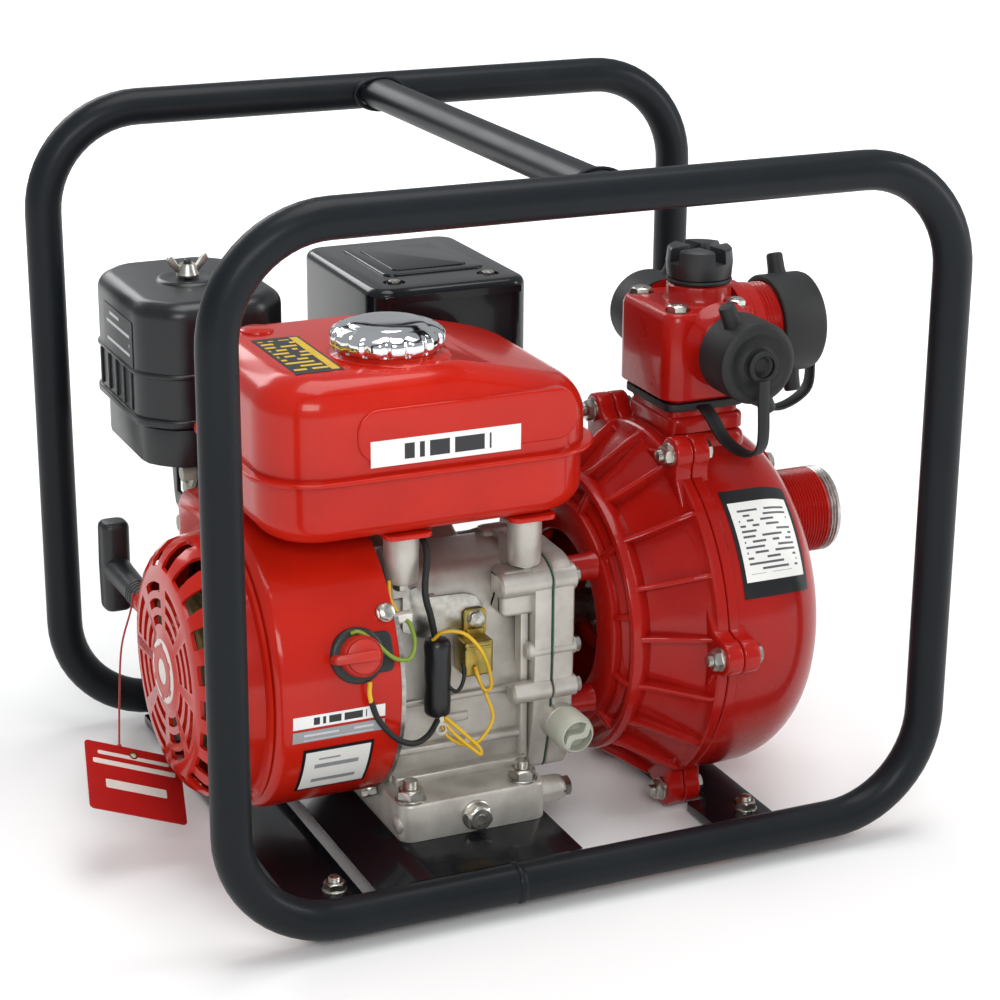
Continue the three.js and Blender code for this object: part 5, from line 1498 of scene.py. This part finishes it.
def makeSideCover():
    start, face = 6.6, 22
    shell = roundedOutline(coverOutline, "x", start, face, caseSizes["corner"], 1.6)
    cutAway(shell, [roundedOutline(cavityOutline, "x", start - 2, face - 7, 4)])
    hub = turned([(start, 26.3), (start, 32), (face - 1, 32), (face - 1, 40), (face + 0.6, 37),
                  (face + 1.4, 36), (face + 2, 35), (face + 2, 12.3), (face - 2.6, 12.3),
                  (face - 2.6, 26.3), (start, 26.3)],
                 "x", 0, 0, 72)
    cutAway(shell, [rod(26.3, start - 1, face - 2.6, "x", 0, 0, 48),
                    rod(12.3, start, face + 3, "x", 0, 0, 48)])
    parts = [shell, hub]
    for v, w, radius, _ in bossPlaces:
        parts.append(turned([(start, 0), (start, radius - 0.6), (start + 0.6, radius), (face + 1.4, radius),
                             (face + 2, radius - 0.8), (face + 2, 0)], "x", v, w, 36))
    web = softBox((face - 2, -1.6, 30), (face + 1.2, 1.6, 54), 0, 0)
    parts += around(bevelEdges(web, 0.8, 2, 40), [20, 75, 120, 160, 200, 250, 330])
    filler = turned([(-78, 5.3), (-78, 11.6), (-77, 12.6), (-70, 13), (-60, 14.4), (-52, 15), (-52, 5.3),
                     (-78, 5.3)], "y", dipstickSizes["x"], dipstickSizes["w"], 56)
    settle(joinPieces([*parts, filler]), "side_cover_casting", "cast", "root",
           ("side_cover",), 35)
    boltsAt([((face + 2, v, w), (1, 0, 0)) for v, w, _, _ in bossPlaces], 6, "side_cover_bolts", washer=False)
    refine("side_cover_gasket", "gasket", "root", 0.1, 1, 50)


def makeHead():
    refine("cylinder_head", "cast", "root", 0.7)
    refine("rocker_cover", "black", "root", 2.2, 3)
    refine("spark_plug", "rubber", "root", 0.8)
    tilt = math.radians(caseSizes["cylinderTilt"])
    along = Vector((0, math.cos(tilt), math.sin(tilt)))
    up = Vector((0, -math.sin(tilt), math.cos(tilt)))
    x = caseSizes["cylinderAt"]
    places = []
    for side in (-1, 1):
        for rise in (-1, 1):
            places.append((Vector((x + side * 36.5, 0, 0)) + along * 175.8 + up * rise * 32, along))
    boltsAt([(tuple(place), tuple(way)) for place, way in places], 5, "rocker_bolts")


dipstickSizes = {
    "face": -78.3,
    "x": 12,
    "w": -50,
    "lean": -38,
}


def makeDipstick():
    face, x, w = dipstickSizes["face"], dipstickSizes["x"], dipstickSizes["w"]
    cap = turned([(face + 20, 0), (face + 20, 4.4), (face, 4.6), (face, 12.4), (face - 1, 13.5),
                  (face - 15, 13.5), (face - 19, 12.8), (face - 21.4, 11.2), (face - 22, 9.6),
                  (face - 22, 0)], "y", x, w, 72)
    pockets = []
    for sign in (1, -1):
        ring = [(x + sign * px, w + sign * pw) for px, pw in arcPoints(10.2, 12, 168, 16)]
        wave = [(-9 + 18 * i / 12, 2.4 + 2.6 * math.sin(tau * i / 12)) for i in range(13)]
        ring += [(x + sign * px, w + sign * pw) for px, pw in wave]
        pockets.append(outline(ring, "y", face - 26, face - 14))
    cutAway(cap, pockets)
    bevelEdges(cap, 0.5, 2, 50)
    turnSpace(cap, (-x, 0, -w))
    turnSpace(cap, (0, 0, 0), (0, dipstickSizes["lean"], 0))
    turnSpace(cap, (x, 0, w))
    settle(cap, "dipstick_cap", "grey", "dipstick", ("dipstick",), 35)
    seal = turned([(face - 0.1, 11), (face - 0.1, 12.6), (face - 1.4, 13), (face - 1.4, 11),
                   (face - 0.1, 11)], "y", x, w, 48)
    settle(seal, "dipstick_seal", "rubber", "dipstick")


makeCrankcase()
makeSideCover()
makeHead()
makeDipstick()
print("crankcase ready")


# switch, ignition sleeve and wiring
switchSizes = {
    "x": -141,
    "angle": 162,
    "radius": 98,
}


def shroudPoint(x, angle, radius):
    turn = math.radians(angle)
    return (x, radius * math.cos(turn), radius * math.sin(turn))


def makeSwitch():
    x, angle, radius = switchSizes["x"], switchSizes["angle"], switchSizes["radius"]
    out = shroudPoint(0, angle, 1)
    plate = turned([(-1, 0), (-1, 18), (2.6, 18), (3.6, 17), (4, 15.6), (4, 0)], "z", 0, 0, 56)
    wing = softBox((6, -13, -0.5), (24, 13, 2.6), 5, 1, 5, 2)
    aimPiece(joinPieces([plate, wing]), shroudPoint(x, angle, radius), out)
    settle(bpy.context.object, "engine_switch_plate_moulding", "plastic", "root",
           ("engine_switch_plate",), 35)
    knob = turned([(0, 0), (0, 12.6), (1, 13.5), (7.6, 13.3), (9.2, 12.4), (10, 10.6), (10, 0)], "z", 0, 0,
                  56)
    groove = turned([(8.4, 11.2), (8.4, 12.1), (10.6, 12.6), (10.6, 10.6), (8.4, 11.2)], "z", 0, 0, 56)
    cutAway(knob, [groove])
    grip = softBox((-20.5, -3.6, 6), (9.5, 3.6, 15.4), 2.8, 1.4, 5, 3)
    for vertex in grip.data.vertices:
        if vertex.co.x < -12:
            vertex.co.z -= 0.28 * (-12 - vertex.co.x)
            vertex.co.y *= 0.86
    aimPiece(joinPieces([knob, grip]), shroudPoint(x, angle, radius + 4.3), out)
    settle(bpy.context.object, "engine_switch_knob_moulding", "redPlastic", "engine_switch",
           ("engine_switch_knob",), 35)


wireRoutes = {
    # through points about the crank; radius; colour; slot; solid it stands for
    "wire_black_lead": ([(-84, -50, 96), (-82, -66, 84), (-88, -78, 60), (-84, -78, 42), (-79, -73, 25)],
                        2.3, "rubber", "rubber", "wire_black"),
    "wire_yellow_lead": ([(-77, -72, -30.5), (-72, -80, -44), (-56, -84, -50), (-42, -82, -36),
                          (-44, -76, -20), (-47, -64, -7.5)], 1.3, "yellow", "wire_yellow", "wire_yellow"),
    "wire_top_loop": ([(-81, -74, 24), (-76, -80, 31), (-64, -85, 30), (-53, -86, 18), (-46, -85, 2),
                       (-44, -84, -11), (-48, -82, -13), (-51, -78, -4), (-51, -74, 0)], 1.3, "yellow",
                       "wire_yellow", None),
    "wire_low_loop": ([(-76, -74, -30), (-70, -82, -40), (-58, -87, -52), (-53, -88, -56), (-54, -87, -51),
                       (-66, -83, -38), (-74, -76, -30)], 1.3, "yellow", "wire_yellow", None),
    "wire_earth": ([(-145, -94, 46), (-140, -96, 47), (-131, -99, 40), (-119, -101, 28), (-107, -99, 25),
                    (-101, -92, 33), (-101, -83, 42), (-104, -78, 44)], 1.4, "green", "wire_yellow", None),
    "wire_post_lead": ([(-108, -66, 66), (-110, -72, 57), (-107, -77, 49)], 1.4, "yellow", "wire_yellow",
                       None),
    "wire_switch_lead": ([(-136, -103, 15), (-137, -104.5, 8), (-136, -105, 1)], 1.5, "yellow",
                         "wire_yellow", None),
    "wire_switch_sleeve": ([(-136, -105, 2), (-132, -107, -10), (-121, -108, -24), (-107, -104, -32),
                            (-92, -92, -34), (-80, -79, -31)], 2.0, "rubber", "rubber", None),
    "wire_unit_lead": ([(-74, -76, -6), (-66, -78, -13), (-60, -76, -6), (-58, -70, 3)], 1.3, "rubber",
                       "rubber", None),
}


def makeWiring():
    for name, (points, radius, finish, slot, node) in wireRoutes.items():
        lead = alongLine([tuple(p) for p in smoothLine(points, 8)], radius, 12)
        settle(lead, name, finish, "root", (node,) if node else (), 60)
    sleeve = turned([(-30, 0), (-30, 5.6), (-29.2, 7.4), (-27, 8.7), (-20, 9), (-8, 8.6), (2, 9), (12, 8.7),
                     (19, 9), (22, 8.2), (23.4, 6.6), (24, 5), (24, 0)], "z", -77, -72, 48)
    for vertex in sleeve.data.vertices:
        # shrunk film: shallow creases along the sleeve
        angle = math.atan2(vertex.co.y + 72, vertex.co.x + 77)
        pinch = 0.35 * max(0.0, math.sin(5 * angle + vertex.co.z * 0.12))
        away = Vector((vertex.co.x + 77, vertex.co.y + 72, 0))
        if away.length > 4:
            vertex.co -= away.normalized() * pinch
    settle(sleeve, "ignition_sleeve_film", "satinBlack", "root", ("ignition_sleeve",), 50)

    connector = bevelEdges(softBox((-111.4, -80.6, 41.6), (-97.6, -73.6, 47.6)), 0.7, 2, 40)
    latch = bevelEdges(softBox((-108, -81.4, 43), (-102, -80.4, 46)), 0.3, 1, 40)
    settle(joinPieces([connector, latch]), "wire_connector", "white", "root")
    ring = turned([(-79.6, 2.4), (-79.6, 4.6), (-78.8, 4.8), (-78.4, 4.6), (-78.4, 2.4), (-79.6, 2.4)], "y",
                  -77, -37, 32)
    tail = softBox((-78.4, -79.4, -34), (-75.6, -78.4, -28), 0, 0.3)
    settle(joinPieces([ring, tail]), "ring_terminal", "zinc", "root")

    box = bevelEdges(softBox((-58, -73, -7), (-37, -54, 17), 3, 0, 4), 1.8, 4, 30)
    lid = bevelEdges(softBox((-57.4, -73.6, 12), (-37.6, -54.4, 14.2), 2, 0, 4), 0.5, 2, 40)
    tab = bevelEdges(softBox((-51.5, -57, 14), (-35.5, -54.6, 34), 4, 0, 5, axis=1), 0.5, 2, 40)
    neck = bevelEdges(softBox((-51, -60, 16), (-38, -55, 21), 0, 1.4, 3, 3, True, 0), 0.3, 1, 40)
    settle(joinPieces([box, lid, tab, neck]), "oil_level_unit_can", "gold", "root",
           ("oil_level_unit",), 35)
    bracket = outline([(-94, 52), (-84, 54), (-78, 46), (-50, 45), (-42, 42), (-37, 35), (-37, 22), (-46, 16),
                       (-56, 22), (-80, 18), (-94, 24)], "y", -54.2, -52.4)
    settle(bevelEdges(bracket, 0.4, 2, 50), "unit_bracket", "zinc", "root")
    boltsAt([((-43.5, -57, 27.5), (0, -1, 0))], 6, "unit_bolt")


makeSwitch()
makeWiring()
print("wiring ready")


# air cleaner, muffler and carburettor
cleanerSizes = {
    "corner": 9,
    "topEdge": 11,
    "wall": 2.5,
    "ribs": 5,
}


def chamfered(low, high, inset, cut):
    left, right, front, back = low.x + inset, high.x - inset, low.y + inset, high.y - inset
    return [(left + cut, front), (right - cut, front), (right, front + cut), (right, back - cut),
            (right - cut, back), (left + cut, back), (left, back - cut), (left, front + cut)]


def openBelow(piece, wall):
    # takes the underside away and gives the skin its wall
    freshStart()
    bpy.context.view_layer.objects.active = piece
    piece.select_set(True)
    bottom = min(v.co.z for v in piece.data.vertices)
    bpy.ops.object.mode_set(mode="EDIT")
    pick("FACE", lambda f: f.normal.z < -0.9 and f.calc_center_median().z < bottom + 0.5)
    bpy.ops.mesh.delete(type="FACE")
    bpy.ops.object.mode_set(mode="OBJECT")
    applyModifier(piece, "SOLIDIFY", thickness=wall, offset=-1)
    return piece


def makeAirCleaner():
    low, high = localBox("air_cleaner_cover")
    x, v = (low.x + high.x) / 2, (low.y + high.y) / 2
    cover = roundedOutline(chamfered(low, high, 1.6, 22), "z", low.z + 0.4, high.z - 2,
                           cleanerSizes["corner"])
    bpy.ops.object.mode_set(mode="EDIT")
    roundTopRim(cleanerSizes["topEdge"], 7)
    bpy.ops.object.mode_set(mode="OBJECT")
    openBelow(cover, cleanerSizes["wall"])
    cutAway(cover, [rod(3.3, high.z - 20, high.z + 2, "z", x, v, 32)])
    rim = roundedOutline(chamfered(low, high, 0, 22), "z", low.z + 0.2, low.z + 6, cleanerSizes["corner"],
                         1.4)
    cutAway(rim, [roundedOutline(chamfered(low, high, 4, 22), "z", low.z - 2, low.z + 9, 7)])
    boss = turned([(high.z - 4, 3.3), (high.z - 4, 24), (high.z - 1.6, 22.4), (high.z - 0.4, 20.8),
                   (high.z, 19), (high.z - 1, 14), (high.z - 1, 3.3), (high.z - 4, 3.3)], "z", x, v, 64)
    ribs = []
    count = cleanerSizes["ribs"]
    for i in range(count):
        ribV = low.y + 36 + i * (high.y - low.y - 72) / (count - 1)
        for side in (low.x + 0.2, high.x - 2.2):
            ribs.append(bevelEdges(softBox((side, ribV - 1.5, low.z + 8), (side + 2, ribV + 1.5, low.z + 34)),
                                   0.6, 2, 40))
    step = roundedOutline(chamfered(low, high, 0.4, 22), "z", low.z + 34, low.z + 38,
                          cleanerSizes["corner"], 1.6)
    cutAway(step, [roundedOutline(chamfered(low, high, 3, 22), "z", low.z + 30, low.z + 42, 7)])
    settle(joinPieces([cover, rim, boss, step, *ribs]), "air_cleaner_hood", "satinBlack", "root",
           ("air_cleaner_cover",), 32)
    refine("air_cleaner_base", "satinBlack", "root", 1.4, 3)
    refine("air_filter", "foam", "root", 2, 3)

    nutLow = localBox("air_cleaner_wing_nut")[0]
    hub = turned([(nutLow.z, 3.3), (nutLow.z, 7.6), (nutLow.z + 1.4, 8), (nutLow.z + 3, 7.2),
                  (nutLow.z + 7.4, 5.8), (nutLow.z + 9, 5), (nutLow.z + 9, 3.3), (nutLow.z, 3.3)], "z", x,
                  v, 40)
    wings = []
    for side in (-1, 1):
        ring = [(x + side * px, nutLow.z + pz) for px, pz in
                [(4.4, 2), (8, 3), (12.6, 8), (14.8, 12), (14.4, 14.4), (12, 15), (9.6, 13.4), (7, 9),
                 (4.4, 7)]]
        wings.append(bevelEdges(outline(ring, "y", v - 1.5, v + 1.5), 0.9, 3, 40))
    settle(joinPieces([hub, *wings]), "wing_nut_forging", "zinc", "wing_nut",
           ("air_cleaner_wing_nut",), 40)


mufflerSizes = {
    "corner": 16,
    "wall": 2,
    "ventWidth": 6,
    "ventPitch": 13,
    "ventEnd": 2.6,
    "rearVents": 6,
    "rightVents": 8,
    "dishRadius": 8,
    "dishDepth": 1.2,
    "dishInset": (24, 22),
}


def makeMuffler():
    low, high = localBox("muffler_guard")
    guard = softBox((low.x, low.y, low.z), (high.x, high.y, high.z), mufflerSizes["corner"], 6, 8, 5)
    openBelow(guard, mufflerSizes["wall"])
    lip = softBox((low.x + 8, low.y - 3, high.z - 9), (high.x - 8, low.y + 4, high.z - 4), 0, 2.2, 3, 4,
                  True, 0)
    # a raised panel and a bead on it, pressed into the top
    panel = softBox((low.x + 24, low.y + 38, high.z - 2), (high.x - 18, high.y - 20, high.z + 1.2), 8, 1.6,
                    5, 4)
    bead = softBox((low.x + 34, low.y + 48, high.z - 1), (high.x - 28, high.y - 30, high.z + 2), 5, 0.7, 4, 3)
    half, end = mufflerSizes["ventWidth"] / 2, mufflerSizes["ventEnd"]
    bottom, top = low.z + 16, high.z - 18
    vents = []
    for i in range(mufflerSizes["rearVents"]):
        ventX = low.x + 26 + i * mufflerSizes["ventPitch"]
        vents.append(softBox((ventX - half, high.y - 10, bottom), (ventX + half, high.y + 4, top), end, 0,
                             4, axis=1))
    for i in range(mufflerSizes["rightVents"]):
        ventV = low.y + 28 + i * mufflerSizes["ventPitch"]
        vents.append(softBox((high.x - 10, ventV - half, bottom), (high.x + 4, ventV + half, top), end, 0,
                             4, axis=0))
    insetX, insetV = mufflerSizes["dishInset"]
    screws = [(place, low.y + insetV) for place in (low.x + insetX, high.x - insetX)]
    seat = high.z - mufflerSizes["dishDepth"]
    dishes = [rod(mufflerSizes["dishRadius"], seat, high.z + 4, "z", *screw, 40) for screw in screws]
    cutAway(guard, [joinPieces(vents), *dishes])
    settle(joinPieces([guard, lip, panel, bead]), "muffler_guard_shell", "black", "root",
           ("muffler_guard",), 35)
    boltsAt([((*screw, high.z - 1.6), (0, 0, 1)) for screw in screws], 5, "muffler_guard_bolts", washer=False)
    refine("muffler", "castDark", "root", 1.6, 3)


def makeCarburettor():
    low, high = localBox("carburettor")
    bowlX, bowlV = -128, 146
    bowl = turned([(22.6, 0), (22.6, 4), (24, 6.5), (24.4, 13), (26, 16.6), (29, 18.4), (34, 19), (46, 19.4),
                   (47, 20.6), (50.4, 20.6), (51, 19.6), (54, 19), (54, 0)], "z", bowlX, bowlV, 56)
    flange = softBox((low.x + 18, 124, 49), (high.x - 0.4, 168, 55), 4, 1, 4, 2)
    collar = turned([(-111, 14), (-111, 20), (-110, 21), (-104.4, 21), (-103.4, 20), (-103.4, 14),
                     (-111, 14)], "x", bowlV, 70, 48)
    screws = [turned([(-3, 0), (-3, 3.2), (0, 3.4), (1.4, 2.8), (1.4, 0)], "z", 0, 0, 20) for _ in range(4)]
    for screw, place in zip(screws, [(-140, 130, 88), (-114, 130, 88), (-140, 162, 88), (-114, 162, 88)]):
        turnSpace(screw, place)
    refine("carburettor", "cast", "root", 1.2, 2, 30, (bowl, flange, collar, *screws))
    boltsAt([((bowlX, bowlV, 23), (0, 0, -1))], 5, "bowl_bolt")
    refine("control_plate", "plastic", "root", 0.5, 2)
    for node in ("choke_lever", "fuel_lever"):
        refine(node, "grey", node, 0.8, 3)


makeAirCleaner()
makeMuffler()
makeCarburettor()
print("air cleaner and muffler ready")


# running gear inside
runningGear = {
    "main_bearing_left": ("bright", "root", "steel", 0.6),
    "main_bearing_right": ("bright", "root", "steel", 0.6),
    "crankshaft": ("bright", "rotor", "steel", 0.6),
    "flywheel": ("cast", "rotor", "cast_iron", 0.5),
    "starter_cup": ("zinc", "rotor", "steel", 0.5),
    "impeller": ("cast", "rotor", "cast_iron", 0.6),
    "piston": ("cast", "piston", "cast_aluminium", 0.5),
    "mechanical_seal": ("bright", "root", "steel", 0.4),
}
for node, (finish, body, slot, width) in runningGear.items():
    refine(node, finish, body, width)
print("running gear ready")


# printed labels, with plain bars in place of wording
labelFinishes = {
    "plate": printedLabel("printed_spec_plate", "#e9e8e4", "#55565a", 15, 0.09, 0.42, 9.0),
    "plateEdge": mouldedPlastic("printed_black_film", "#17181b", "#101114", 0.3, 1.2, 0.01),
    "strip": printedLabel("printed_white_strip", "#edecea", "#232427", 1, 0.2, 0.95, 30.0),
    "caution": printedLabel("printed_caution_film", "#18181a", "#d9b21c", 11, 0.07, 0.45, 9.0),
    "yellowFilm": mouldedPlastic("printed_yellow_film", "#dab41c", "#cfa818", 0.35, 1.2, 0.01),
    "whiteFilm": printedLabel("printed_white_film", "#e6e5e1", "#8d8e92", 5, 0.16, 0.5, 3.0),
    "greyStrip": printedLabel("printed_grey_strip", "#9a9b9e", "#c9cacd", 2, 0.12, 0.4, 6.0),
    "cleanerFilm": printedLabel("printed_outline_film", "#1b1c1f", "#c4c5c8", 5, 0.10, 0.34, 3.0),
}


def makeLabel(name, finish, place, across=8, along=8, thickness=0.35):
    # a thin film laid on a surface: place(u, t) gives the point for u and t from 0 to 1
    freshStart()
    bpy.ops.mesh.primitive_grid_add(x_subdivisions=across, y_subdivisions=along, size=1, calc_uvs=True)
    film = bpy.context.object
    for vertex in film.data.vertices:
        vertex.co = Vector(place(vertex.co.x + 0.5, vertex.co.y + 0.5))
    applyModifier(film, "SOLIDIFY", thickness=thickness, offset=0)
    return settle(film, name, labelFinishes[finish], "root", (), 40)


def onTank(left, right, low, high, lift=0.0):
    tankLow, _ = localBox("fuel_tank")
    return lambda u, t: (left + (right - left) * u, tankLow.y + 4.2 - lift, low + (high - low) * t)


def onShroud(left, right, low, high, lift=0.3):
    radius = switchSizes["radius"] + lift
    return lambda u, t: shroudPoint(left + (right - left) * u, low + (high - low) * t, radius)


def coverRadius(x):
    # the pump cover's outside at x
    if x < 150:
        return pumpSizes["rim"] - 1.5 - 0.3 * (x - 122) / 28
    turn = math.asin(min(1.0, (x - 150) / 46))
    return 82 + 42.2 * math.cos(turn)


def onPump(left, right, low, high, lift=0.4):
    def place(u, t):
        x = left + (right - left) * u
        return shroudPoint(x, low + (high - low) * t, coverRadius(x) + lift)
    return place


makeLabel("tank_front_label", "strip", onTank(-128, -26, 151, 168))
makeLabel("pump_plate_edge", "plateEdge", onPump(124, 176, 163, 128), 24, 24)
makeLabel("pump_plate", "plate", onPump(127, 173, 158, 132.5, 0.62), 24, 24)
makeLabel("shroud_white_strip", "strip", onShroud(-186, -124, 187, 182))
makeLabel("shroud_grey_strip", "greyStrip", onShroud(-186, -124, 193, 188.2))
makeLabel("shroud_film_edge", "plateEdge", onShroud(-178, -130, 222, 197), 8, 16)
makeLabel("shroud_film", "whiteFilm", onShroud(-176, -132, 220.6, 198.4, 0.5), 8, 16)
tankTop = localBox("fuel_tank")[1].z - 3
makeLabel("tank_top_label", "caution",
          lambda u, t: (-166 + 32 * u, -60 + 86 * t, tankTop + 0.1), 8, 8)
makeLabel("tank_top_label_head", "yellowFilm",
          lambda u, t: (-141 + 5.4 * u, -57 + 80 * t, tankTop + 0.34), 4, 8, 0.2)
cleanerLow, _ = localBox("air_cleaner_cover")
makeLabel("air_cleaner_label", "cleanerFilm",
          lambda u, t: (cleanerLow.x + 1.3, 196 - 68 * u, 168 + 32 * t), 6, 6)
print("labels ready")
